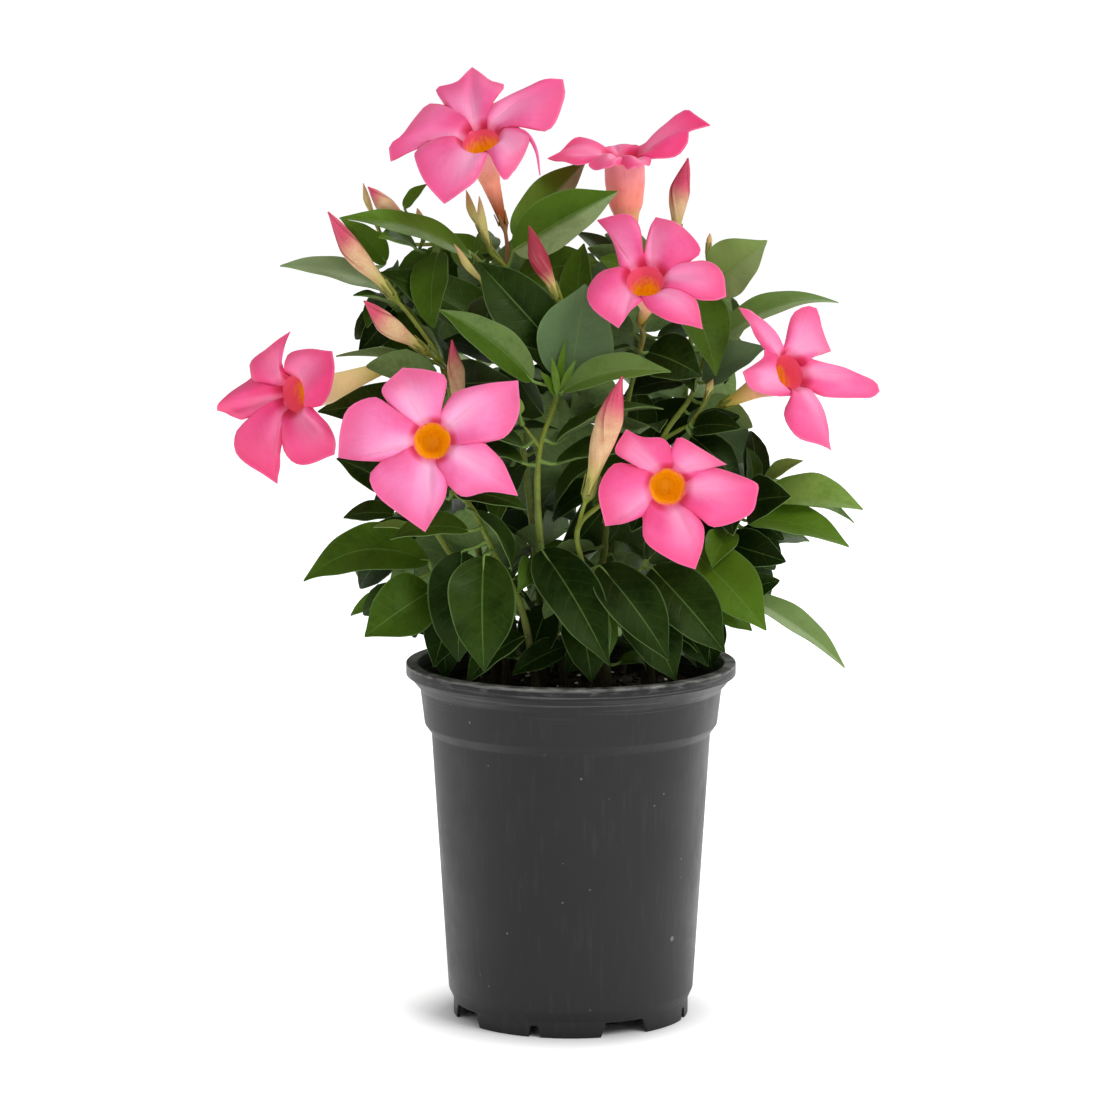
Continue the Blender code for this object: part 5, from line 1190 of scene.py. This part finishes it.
# Leaves that are hidden from the viewer, in metres, degrees and shares
GROWN_LEAF_LENGTH = 0.052
GROWN_LEAF_HALF_WIDTH = 0.0125
GROWN_PETIOLE = 0.007
GROWN_ARCH = 0.004
GROWN_TRIES = 24
GROWN_LENGTHS = (0.72, 1.1)
SHORTER_EACH_TRY = 0.03
PAIR_SPACING = 0.036
PAIR_START = 0.83
LEAF_SEED = 1009
BARE_HEIGHT = 0.02
LOW_HEIGHT = 0.07
LOW_PITCHES = (-65, -15)
HIGH_PITCHES = (-50, 25)
GROWN_ROLLS = (-40, 40)
GROWN_SWAY = (-0.7, 0.7)
GROWN_TINT = 0.08
GROWN_TINT_SPREAD = 0.3

# By stem. foot and tip: the ends of the blade. wide: its width in pixels. turn: degrees that the
# blade is turned up from facing the viewer. arch: millimetres it bows. tint: 0 the darkest, 1 a
# fresh yellow-green, and below 0 a painted blue-green reflection of the sky, on those that mirror
# it. silver: share of the half left of the way to the tip, and of the half right of it, that
# carries a painted pale grey-green reflection where it catches the light. bow: how far it bends to
# one side as seen, by the share of its length.
Leaf = namedtuple("Leaf", "foot tip wide turn arch tint silver bow", defaults=((0.0, 0.0), 0.0))
LEAVES = {
    "left_low": [
        ((400, 492, -10), (337, 458, -14), 32, 25, 2, 0.1),
        ((394, 514, -16), (343, 517, -8), 19, 45, 2, 0.15),
        ((420, 532, -30), (374, 526, -36), 8, 70, 1, 0.9),
        ((428, 560, -32), (303, 580, -30), 46, 25, 5, 0.36, (0.0, 0.0), 0.12),
        ((432, 590, -34), (365, 636, -48), 60, 10, 4, 0.3),
        ((392, 592, -14), (350, 615, -10), 14, 45, 1, 0.6),
        ((442, 588, -20), (446, 680, -24), 42, 5, 3, 0.05),
    ],
    "front_left": [
        ((458, 492, -44), (526, 508, -58), 23, 40, 3, 0.15),
        ((468, 530, -48), (390, 538, -56), 22, 45, 4, 0.3),
        ((462, 552, -44), (458, 662, -50), 62, 10, 4, 0.05),
        ((484, 556, -56), (484, 671, -70), 66, 5, 6, 0.14),
        ((524, 636, -40), (466, 684, -50), 36, 25, 3, 0.1),
    ],
    "left_flowers": [
        ((386, 262, 4), (342, 219, -12), 24, 20, 2, 0.7),
        ((388, 290, 6), (281, 264, -8), 22, 55, 3, -0.8, (0.8, 0.6)),
        ((398, 306, 4), (354, 294, -10), 9, 70, 1, 0.3),
        ((428, 344, 24), (366, 322, 20), 42, 10, 2, 0.35),
        ((430, 362, 10), (336, 354, 6), 9, 75, 1, -0.6, (0.5, 0.5)),
        ((436, 400, 12), (317, 411, 22), 40, 20, 2, 0.15),
    ],
    "top_left": [
        ((514, 236, 10), (585, 161, 34), 36, 25, 2, 0.6, (0.0, 0.8)),
        ((514, 250, 0), (617, 191, -8), 50, 15, 3, 0.42, (0.0, 0.75)),
        ((470, 257, 6), (341, 216, -20), 22, 50, 5, 0.6),
        ((418, 250, 4), (380, 236, -30), 26, 40, 2, 0.6),
        ((404, 208, 12), (426, 184, 12), 10, 40, 1, 0.6),
        ((500, 336, 12), (382, 271, 4), 46, 30, 3, 0.22),
    ],
    "top_right": [
        ((714, 284, 8), (766, 241, -10), 52, 10, 2, 1.0, (0.2, 0.6)),
        ((628, 278, 32), (576, 231, 36), 20, 45, 3, -0.4),
    ],
    "centre_right": [
        ((648, 352, -2), (702, 376, -14), 48, 15, 3, 0.08),
    ],
    "right_flowers": [
        ((704, 382, 2), (766, 346, -4), 32, 35, 3, -0.8),
        ((708, 350, 12), (838, 300, 26), 22, 55, 9, 0.55, (0.2, 0.7)),
        ((690, 414, 10), (752, 462, 16), 50, 15, 3, -0.7),
    ],
    "front_right": [
        ((566, 646, -34), (512, 674, -44), 26, 25, 2, 0.05),
        ((578, 610, -44), (592, 682, -54), 44, 10, 3, 0.08),
        ((600, 566, -46), (669, 659, -60), 55, 8, 5, 0.06),
        ((630, 600, -36), (676, 680, -46), 52, 12, 3, 0.08),
        ((652, 568, -32), (725, 652, -44), 58, 10, 4, 0.1),
    ],
    "right_low": [
        ((753, 486, 2), (748, 448, -2), 15, 50, 1, 0.2),
        ((765, 482, 2), (802, 460, -4), 13, 45, 2, 1.0),
        ((768, 487, 8), (792, 490, 18), 9, 60, 1, 0.75),
        ((767, 494, -2), (863, 508, -8), 32, 40, 5, 0.85),
        ((766, 500, 12), (855, 521, 20), 26, 40, 4, 0.4),
        ((748, 520, -6), (849, 545, -22), 35, 35, 5, 0.7),
        ((742, 541, 6), (810, 540, 18), 24, 45, 3, -0.6),
        ((728, 532, -14), (712, 566, -34), 30, 20, 2, 0.5),
        ((734, 556, 12), (770, 600, 24), 38, 10, 2, -0.1),
        ((693, 552, -18), (766, 629, -44), 58, 15, 4, 0.55),
        ((740, 594, 12), (846, 666, 6), 22, 50, 4, 0.6, (0.4, 0.8)),
        ((700, 600, -2), (752, 630, -10), 32, 25, 3, 0.3),
        ((702, 604, 2), (712, 668, -4), 36, 8, 3, 0.08),
    ],
    "middle_shoot": [
        ((552, 344, -22), (478, 262, -22), 58, 10, 3, 0.1),
        ((532, 380, -38), (440, 309, -44), 34, 30, 4, 0.36, (0.0, 0.25)),
        ((564, 390, -36), (670, 370, -50), 27, 45, 5, 0.5, (0.25, 0.1)),
        ((570, 382, -32), (585, 284, -38), 76, 5, 3, -0.8),
        ((578, 316, -14), (583, 243, -2), 30, 30, 2, 0.4),
        ((542, 550, -38), (609, 664, -66), 55, 8, 5, 0.06),
        ((520, 414, -34), (514, 394, -36), 9, 20, 1, 0.9),
        ((572, 356, -30), (582, 338, -34), 8, 30, 1, 0.9),
    ],
    "back_left": [
        ((482, 276, 48), (446, 233, 44), 34, 30, 2, 0.7),
    ],
}

# Small fresh leaves at the ends of two shoots, and leaves that hang low inside the pot's lip, which
# are too fine or too tucked away for the solids
SMALL_LEAVES = {
    "left_low": [
        ((456, 604, -18), (434, 666, -36), 44, 10, 3.0, 0.05),
    ],
    "top_right": [
        ((716, 284, 10), (728, 250, 6), 6, 20, 0.5, 0.6),
        ((718, 284, 10), (738, 260, 8), 6, 20, 0.5, 0.7),
        ((714, 284, 11), (714, 256, 12), 6, 20, 0.5, 0.7),
    ],
    "front_right": [
        ((604, 622, -34), (566, 674, -40), 34, 10, 3.0, 0.0),
    ],
    "right_low": [
        ((676, 620, -14), (708, 666, -26), 32, 10, 2.0, 0.05),
    ],
    "middle_shoot": [
        ((559, 392, -31), (565, 341, -33), 6, 10, 0.5, 0.7),
        ((557, 394, -32), (552, 358, -37), 6, 20, 0.5, 0.8),
        ((561, 392, -32), (575, 361, -36), 6, 20, 0.5, 0.8),
        ((556, 396, -31), (541, 372, -36), 7, 30, 1.0, 0.6),
        ((562, 394, -30), (584, 372, -30), 7, 30, 1.0, 0.6),
        ((548, 606, -26), (528, 668, -34), 40, 10, 3.0, 0.0),
    ],
}

leaf_green, tree, shader, place = finish("leaf_green", Specular_IOR_Level=0.24,
                                         Specular_Tint=(0.58, 0.85, 0.34, 1.0))
across, along, tint, under, silver = marked(tree, "across", "along", "tint", "under", "silver")
aside = sums(tree, "ABSOLUTE", across)
cloud = mottled(tree, place, 90.0, 0.5)
midrib = ramp(tree, aside, 0.040, 0.008)
ribs = sums(tree, "FRACT", times(tree, sums(
    tree, "MULTIPLY_ADD", sums(tree, "POWER", aside, 1.3), -VEIN_SLANT, along), SIDE_VEINS))
side_vein = times(tree, ramp(tree, distance(tree, ribs, 0.5), 0.10, 0.02),
                  ramp(tree, aside, 0.98, 0.70))
net = node(tree, "TexVoronoi", {"Vector": place, "Scale": 900.0}, feature="DISTANCE_TO_EDGE")
mesh_vein = ramp(tree, net.outputs["Distance"], 0.10, 0.0)
light = sums(tree, "MULTIPLY_ADD", sums(tree, "SUBTRACT", cloud, 0.5), 0.12, tint)
pale = coats(tree, blend(tree, cloud, (92, 118, 62), (116, 142, 84)),
             (times(tree, sums(tree, "MAXIMUM", side_vein, midrib), 0.3), (150, 172, 112)))
# Painted reflections: below 0 the tint paints the blue-green of the sky mirrored in a leaf, and the
# painted sheen coat paints a pale grey-green reflection on the marked halves
colour = coats(tree, blend(tree, ramp(tree, light, 0.0, 0.7), (10, 28, 2), (80, 112, 24)),
               (ramp(tree, light, 0.7, 1.0), (124, 152, 72)),
               (ramp(tree, light, 0.0, -1.0), (94, 118, 80)),
               (times(tree, side_vein, 0.04), (96, 128, 58)),
               # Pale line along the edge: partly the leaf's pale margin, partly a painted highlight
               # along its rim
               (ramp(tree, aside, 0.94, 1.0, 0.0, 0.55), (104, 132, 76)),
               (times(tree, midrib, 0.42), (104, 136, 70)),
               (under, pale),
               (times(tree, silver, ramp(tree, cloud, 0.2, 0.8, 0.75, 1.0)), (150, 168, 118)))
rough = ramp(tree, sums(tree, "MULTIPLY_ADD", under, 0.8, cloud), 0.0, 1.6, 0.30, 0.60)
hollow = sums(tree, "ADD",
              sums(tree, "MULTIPLY_ADD", side_vein, -0.5, times(tree, midrib, -1.0)),
              sums(tree, "MULTIPLY_ADD", mesh_vein, -0.25, times(tree, cloud, 0.4)))
feed(tree, shader, colour, rough, hollow, 0.30, 0.0003)


def upright(normal, chord):
    """The normal made square to the chord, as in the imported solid."""
    return (normal - chord * (normal.dot(chord) / chord.length_squared)).normalized()


def leaf_blade(foot, tip, half_width, normal, arch, grid, phase, bow=0.0):
    """Two-sided leaf blade on a grid of t from foot to tip and s from -1 to 1 across.

    Half width W = half_width t^0.55 (1-t)^0.85 / LEAF_WIDEST, narrowed at a near leaf's tip.
    Midline = chord + normal 4t(1-t) arch, bowed sideways by the share bow of its length.
    Lift = LEAF_FOLD W |s|^1.3 + edge waves s^2 sin(...) + quilting between the side veins."""
    rows, cols = LEAF_GRIDS[grid]
    t = (0.5 - 0.5 * np.cos(math.pi * np.linspace(0.02, 0.995, rows)))[:, None, None]
    s = np.sin(math.pi / 2 * np.linspace(-1, 1, cols))[None, :, None]
    chord = tip - foot
    up = upright(normal, chord)
    side = np.array(chord.cross(up).normalized())
    up, way = np.array(up), np.array(chord)
    wide = half_width * t ** 0.55 * (1 - t) ** 0.85 / LEAF_WIDEST + LEAST_HALF_WIDTH
    if grid in ("seen", "grown"):
        wide = wide * (1 - TIP_NARROWING * np.clip((t - NARROW_FROM) / 0.25, 0, 1) ** 1.5)
    wide = wide * (1 + LEAF_WAVES * np.sin(7 * t + phase) * np.sign(s) * np.abs(s))
    lift = LEAF_FOLD * wide * np.abs(s) ** 1.3
    lift = lift + LEAF_WAVES * wide * s ** 2 * np.sin(2 * math.pi * (2.3 * t + phase) + s)
    if grid == "seen":
        quilt = np.cos(2 * math.pi * SIDE_VEINS * (t - VEIN_SLANT * np.abs(s) ** 1.3))
        lift = lift + QUILTING * half_width * quilt * 4 * np.abs(s) * (1 - np.abs(s)) \
            * np.clip(t * 4, 0, 1) * np.clip(6 - 6 * t, 0, 1)
    length = np.linalg.norm(way)
    lift = lift + 4 * t * (1 - t) * arch - LEAF_DROOP * length * t ** 6
    bend = side * (bow + 0.012 * math.sin(5 * phase)) * length * np.sin(math.pi * t)
    top = np.array(foot) + way * t + bend + side * wide * s + up * lift
    rib = up * (RIB_THICK * np.exp(-(s / 0.10) ** 2) * (1 - 0.7 * t))
    bottom = top - up * BLADE_THICK - rib
    shape = np.ones((rows, cols))
    marks = {"across": np.tile((shape * s[..., 0]).ravel(), 2),
             "along": np.tile((shape * t[..., 0]).ravel(), 2),
             "under": np.repeat([0.0, 1.0], rows * cols)}
    return sheet_body(top, bottom), marks


def add_leaf(stem, place, half_width, arch, grid, tint, silver=(0.0, 0.0), bow=0.0):
    """A leaf with its petiole: a stalk that flares where it leaves the stem's line."""
    foot, tip, normal = place
    pile, line = leaf_piles[stem], stem_lines[stem]
    phase = (foot.x * 431 + tip.z * 977) % 1.0
    body, marks = leaf_blade(foot, tip, half_width, normal, arch, grid, phase, bow)
    # The painted sheen: a pale grey-green reflection painted on the top face of one half or both, by
    # the given shares
    lit = np.where(marks["across"] > 0.04, silver[1], silver[0]) * (1 - marks["under"])
    pile.add(body, tint=tint, silver=lit, **marks)
    root = Vector(line[np.argmin(np.linalg.norm(line - np.array(foot), axis=1))])
    normal = upright(normal, tip - foot)
    rise = normal * (4 * PETIOLE_REACH * (1 - PETIOLE_REACH) * arch - BLADE_THICK)
    mid = root.lerp(foot, 0.55) + Vector((0, 0, -0.0006))
    path = smooth_path([root, mid, foot - normal * 0.0004,
                        foot + (tip - foot) * PETIOLE_REACH + rise], PETIOLE_STEP)
    share = np.linspace(0, 1, len(path))
    thick = PETIOLE_RADIUS * (1 + 0.5 * np.exp(-share / 0.10) - 0.45 * share)
    thick[-1] *= 0.4
    pile.add(ring_body(rings_along(path, thick, PETIOLE_SIDES)), **PETIOLE_LOOK)


def leaf_place(leaf, shift, more_turn):
    """Foot, tip and normal of a leaf that is moved back by shift and turned up by more_turn."""
    foot = seen((*leaf.foot[:2], leaf.foot[2] + shift * LEAF_FOOT_SHIFT_SHARE))
    tip = seen((*leaf.tip[:2], leaf.tip[2] + shift))
    chord = (tip - foot).normalized()
    toward = (VIEW_POINT - foot).normalized()
    facing = (toward - chord * toward.dot(chord)).normalized()
    upper = chord.cross(facing)
    if upper.z < 0:
        upper = -upper
    turn = math.radians(leaf.turn + more_turn)
    return foot, tip, facing * math.cos(turn) + upper * math.sin(turn)


def add_seen_leaf(stem, leaf, place, grid):
    """A leaf of the tables. Its real width comes from the width at which its blade is seen."""
    half = leaf.wide / 2 * VIEW_PIXEL * (place[0] - VIEW_POINT).length
    half = half / math.cos(math.radians(leaf.turn))
    add_leaf(stem, place, half, leaf.arch * MM, grid, leaf.tint, leaf.silver, leaf.bow)


def in_solid(corners, foot, tip, normal):
    """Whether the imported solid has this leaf: both corners of its tip are there."""
    up = upright(normal, tip - foot) * (BLADE / 2)
    return all(np.abs(corners - np.array(tip + way)).sum(1).min() < SAME_PLACE for way in (up, -up))


def grow_leaf(stem, corners, here, bearing, draw):
    """One hidden leaf, of the first of its drawn directions and lengths that the solid has."""
    low = here.z < SOIL_HEIGHT + LOW_HEIGHT
    for attempt in range(GROWN_TRIES):
        swung = bearing + draw.uniform(*GROWN_SWAY)
        pitch = math.radians(draw.uniform(*(LOW_PITCHES if low else HIGH_PITCHES)))
        roll = math.radians(draw.uniform(*GROWN_ROLLS))
        shorter = 1 - SHORTER_EACH_TRY * attempt
        length = GROWN_LEAF_LENGTH * draw.uniform(*GROWN_LENGTHS) * shorter
        out = Vector((math.cos(swung) * math.cos(pitch), math.sin(swung) * math.cos(pitch),
                      math.sin(pitch)))
        foot = here + out * GROWN_PETIOLE
        tip = foot + out * length
        normal = Quaternion(out, roll) @ (Vector((0, 0, 1)) - out * out.z)
        if in_solid(corners, foot, tip, normal):
            half = GROWN_LEAF_HALF_WIDTH * length / GROWN_LEAF_LENGTH
            add_leaf(stem, (foot, tip, normal), half, GROWN_ARCH, "grown",
                     GROWN_TINT + GROWN_TINT_SPREAD * draw.random())
            return


leaf_piles = {stem: Pile() for stem in STEMS}
for row, stem in enumerate(STEMS):
    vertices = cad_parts["leafy_stem_" + stem].data.vertices
    corners = np.empty(len(vertices) * 3)
    vertices.foreach_get("co", corners)
    corners = corners.reshape(-1, 3)
    for leaf in (Leaf(*values) for values in LEAVES.get(stem, ())):
        places = (leaf_place(leaf, shift, turn) for shift in LEAF_SHIFTS for turn in LEAF_TURNS)
        place = next((place for place in places if in_solid(corners, *place)), None)
        if place:
            add_seen_leaf(stem, leaf, place, "seen")
    for leaf in (Leaf(*values) for values in SMALL_LEAVES.get(stem, ())):
        add_seen_leaf(stem, leaf, leaf_place(leaf, 0, 0), "grown")
    walked = 0.0
    pair = row * PAIR_START
    for before, here in zip(wood_places[stem], wood_places[stem][1:]):
        walked += (here - before).length
        if here.z < SOIL_HEIGHT + BARE_HEIGHT or walked < PAIR_SPACING:
            continue
        walked = 0.0
        pair += math.pi / 2
        for opposite in (0, math.pi):
            draw = random.Random(int(LEAF_SEED * (pair + opposite)))
            grow_leaf(stem, corners, here, pair + opposite, draw)

# The inner leaves
# Older, shorter leaves deep in the plant, which close it so that no daylight shows through but
# at a few chinks. Each grows from the nearest wood to where it would show, clear of its neighbours.

# In pixels, millimetres behind the pot's axis, metres, degrees and shares
INNER_SEED = 77
INNER_STEP = 7
INNER_TRIES = 60
INNER_COLUMNS = (340, 810)
INNER_ROWS = (236, 676)
INNER_SCATTER = (-3, 3)
INNER_DEPTHS = (-30, 60)
INNER_LENGTHS = (0.026, 0.046)
INNER_LEAST = 0.018
INNER_SHORTER_EACH_TRY = 0.008
INNER_WIDTH_SHARE = 0.27
INNER_PETIOLE = 0.005
INNER_ARCH = 0.003
INNER_REACH = (0.006, 0.030)
INNER_NEAREST = 3
INNER_LEAST_FACING = 0.3
INNER_CLEARANCE = 0.0004
INNER_BARE_FOOT = 0.0015
INNER_ROLLS = (-50, 50)
INNER_TINTS = (-0.1, 0.15)
WOOD_FROM = 0.008
LIGHTER_ABOVE = 330
LIGHTER_BY = 0.3
WATCHED_SHARE = 0.8
BUD_CHECKS = (0.3, 0.7)
LEAF_GRIDS["test"] = (6, 3)
LEAF_GRIDS["inner"] = (9, 5)

# The edge of the dense foliage as seen, and the chinks in it: left, top, right, bottom
FOLIAGE_EDGE = [(350, 352), (368, 300), (392, 262), (440, 236), (520, 232), (610, 232),
                (668, 250), (716, 268), (742, 310), (748, 348), (726, 392), (752, 420),
                (768, 470), (806, 508), (800, 545), (778, 590), (748, 620), (724, 650),
                (690, 672), (450, 672), (404, 632), (352, 612), (350, 560), (392, 520),
                (352, 480), (344, 440), (384, 400)]
CHINKS = [(512, 556, 528, 592), (597, 545, 608, 565), (613, 546, 625, 556), (411, 250, 430, 270),
          (503, 360, 510, 378), (460, 365, 495, 380)]


def pixel_of(place):
    """Pixel column and row at which a world place is seen."""
    offset = place - VIEW_POINT
    distance = offset.dot(VIEW_AHEAD) * VIEW_PIXEL
    return (VIEW_MIDDLE + offset.dot(VIEW_RIGHT) / distance,
            VIEW_MIDDLE - offset.dot(VIEW_UP) / distance)


def inside_edge(x, y):
    """Whether a pixel lies inside the edge of the dense foliage and in no chink."""
    inside = False
    for k, (x1, y1) in enumerate(FOLIAGE_EDGE):
        x2, y2 = FOLIAGE_EDGE[k - 1]
        if (y1 > y) != (y2 > y) and x < (x2 - x1) * (y - y1) / (y2 - y1) + x1:
            inside = not inside
    return inside and not any(a < x < c and b < y < d for a, b, c, d in CHINKS)


def mesh_tree(mesh):
    """Search tree of a mesh, for finding what touches it or hides it."""
    places = [v.co.copy() for v in mesh.vertices]
    return BVHTree.FromPolygons(places, [tuple(f.vertices) for f in mesh.polygons])


def hides(blade_tree, place):
    """Whether a leaf stands between the viewer and a place."""
    offset = place - VIEW_POINT
    return blade_tree.ray_cast(VIEW_POINT, offset.normalized(), offset.length)[0] is not None


# Only the far end of a leaf has to stay clear of the stem that bears it
solid_trees = [mesh_tree(solid.data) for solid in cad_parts.values()]
watched = []
for bloom in BLOOMS.values():
    middle, facing = seen(bloom.heart), Vector(bloom.facing).normalized()
    watched += [middle] + [middle.lerp(seen_on_plane(a, d, middle, facing), WATCHED_SHARE)
                           for a, d, rise in bloom.rim]
watched += [seen(bud.foot).lerp(seen(bud.tip), share) for bud in BUDS.values()
            for share in BUD_CHECKS]
all_wood = [(stem, place) for stem in STEMS for place in wood_places[stem]
            if place.z > SOIL_HEIGHT + WOOD_FROM]
wood_array = np.array([tuple(place) for _, place in all_wood])
draw = random.Random(INNER_SEED)


def grow_inner_leaf(x, y):
    """One inner leaf near the line of sight of a pixel, where it crosses and hides nothing."""
    for attempt in range(INNER_TRIES):
        target = seen((x + draw.uniform(*INNER_SCATTER), y + draw.uniform(*INNER_SCATTER),
                       draw.uniform(*INNER_DEPTHS)))
        away = np.linalg.norm(wood_array - np.array(target), axis=1)
        nearest = int(np.argsort(away)[draw.randrange(INNER_NEAREST)])
        stem, here = all_wood[nearest]
        if not INNER_REACH[0] < away[nearest] < INNER_REACH[1]:
            continue
        out = (target - here).normalized()
        shorter = 1 - INNER_SHORTER_EACH_TRY * attempt
        length = max(INNER_LEAST, draw.uniform(*INNER_LENGTHS) * shorter)
        foot = here + out * INNER_PETIOLE
        tip = foot + out * length
        toward = (VIEW_POINT - target).normalized()
        normal = toward - out * toward.dot(out)
        if normal.length < INNER_LEAST_FACING:
            continue
        roll = math.radians(draw.uniform(*INNER_ROLLS))
        normal = Quaternion(out, roll) @ normal.normalized()
        if normal.z < 0:
            normal = -normal
        half = length * INNER_WIDTH_SHARE
        side = out.cross(normal).normalized() * half
        mid = foot.lerp(tip, 0.45)
        if not all(inside_edge(*pixel_of(p)) for p in (tip, mid + side, mid - side)):
            continue
        body, _ = leaf_blade(foot + out * INNER_BARE_FOOT, tip, half + INNER_CLEARANCE, normal,
                             INNER_ARCH, "test", 0.0)
        blade_tree = BVHTree.FromPolygons(body[0].tolist(), body[1].tolist())
        if any(blade_tree.overlap(tree) for tree in solid_trees):
            continue
        if any(hides(blade_tree, place) for place in watched):
            continue
        solid_trees.append(blade_tree)
        add_leaf(stem, (foot, tip, normal), half, INNER_ARCH, "inner",
                 draw.uniform(*INNER_TINTS) + LIGHTER_BY * (y < LIGHTER_ABOVE))
        return


targets = [(x, y) for x in range(*INNER_COLUMNS, INNER_STEP) for y in range(*INNER_ROWS, INNER_STEP)
           if inside_edge(x, y)]
draw.shuffle(targets)
for x, y in targets:
    if not any(tree.ray_cast(VIEW_POINT, view_ray(x, y))[0] for tree in solid_trees):
        grow_inner_leaf(x, y)

for stem, pile in leaf_piles.items():
    stands_for(pile.make("leaves_" + stem, leaf_green, LEAF_CREASE), "leafy_stem_" + stem)

# The place it stands in
# A plain white floor that runs out of sight under soft light from all round, with a brighter soft
# window above and to the right, a weaker one behind it and a faint one to the left. The floor glows
# evenly white but for a painted shadow round the pot's foot, where its glow fades out.
FLOOR_HALF = 40.0
PAINTED_SHADOW_CORE = 0.044
PAINTED_SHADOW_EDGE = 0.080
SKY_STRENGTH = 0.55
SKY_SEEN_MORE = 0.65
SKY_MIRRORED_LESS = 0.43
LIGHT_AIM = Vector((0, 0, 0.22))

# Each lamp: its name, its place, its side in metres and its watts
LAMPS = (("key", (1.3, -1.3, 1.7), 1.1, 25.0), ("fill", (-1.7, -0.8, 0.8), 1.2, 1.0),
         ("back", (0.9, 1.3, 1.6), 1.2, 14.0))

floor_paint, tree, shader, place = finish("floor_paint", Roughness=0.9, Specular_IOR_Level=0.0,
                                          Emission_Strength=0.5)
# Painted shadow round the pot: the floor's glow is off near the pot's axis and rises to full white
# further out
away = node(tree, "VectorMath", {0: place}, operation="LENGTH").outputs["Value"]
tree.links.new(blend(tree, ramp(tree, away, PAINTED_SHADOW_CORE, PAINTED_SHADOW_EDGE), (0, 0, 0), (255, 255, 255)),
               shader.inputs["Emission Color"])
feed(tree, shader, blend(tree, mottled(tree, place, 3.0, 0.2), (250, 250, 250), (253, 253, 253)))
a = np.linspace(-1, 1, 3) * FLOOR_HALF
grid = np.stack([*np.meshgrid(a, a), np.zeros((3, 3))], -1)
mesh = bpy.data.meshes.new("floor")
mesh.from_pydata(grid.reshape(-1, 3).tolist(), [], quads_of(3, 3).tolist())
mesh.materials.append(floor_paint)
floor = bpy.data.objects.new("floor", mesh)
bpy.context.scene.collection.objects.link(floor)

world = bpy.data.worlds.new("world")
world.use_nodes = True
bpy.context.scene.world = world
tree = world.node_tree
sky = tree.nodes["Background"]
sky.inputs["Color"].default_value = (1, 1, 1, 1)
ray = node(tree, "LightPath").outputs
strength = sums(tree, "MULTIPLY_ADD", ray["Is Camera Ray"], SKY_SEEN_MORE, SKY_STRENGTH)
strength = sums(tree, "MULTIPLY_ADD", ray["Is Glossy Ray"], -SKY_MIRRORED_LESS, strength)
tree.links.new(strength, sky.inputs["Strength"])
for name, spot, size, watts in LAMPS:
    lamp = bpy.data.lights.new(name, "AREA")
    lamp.size = size
    lamp.energy = watts
    light = bpy.data.objects.new(name, lamp)
    light.location = spot
    light.rotation_euler = (LIGHT_AIM - Vector(spot)).to_track_quat("-Z", "Y").to_euler()
    bpy.context.scene.collection.objects.link(light)
bpy.context.scene.view_settings.view_transform = "Standard"

bpy.context.view_layer.update()
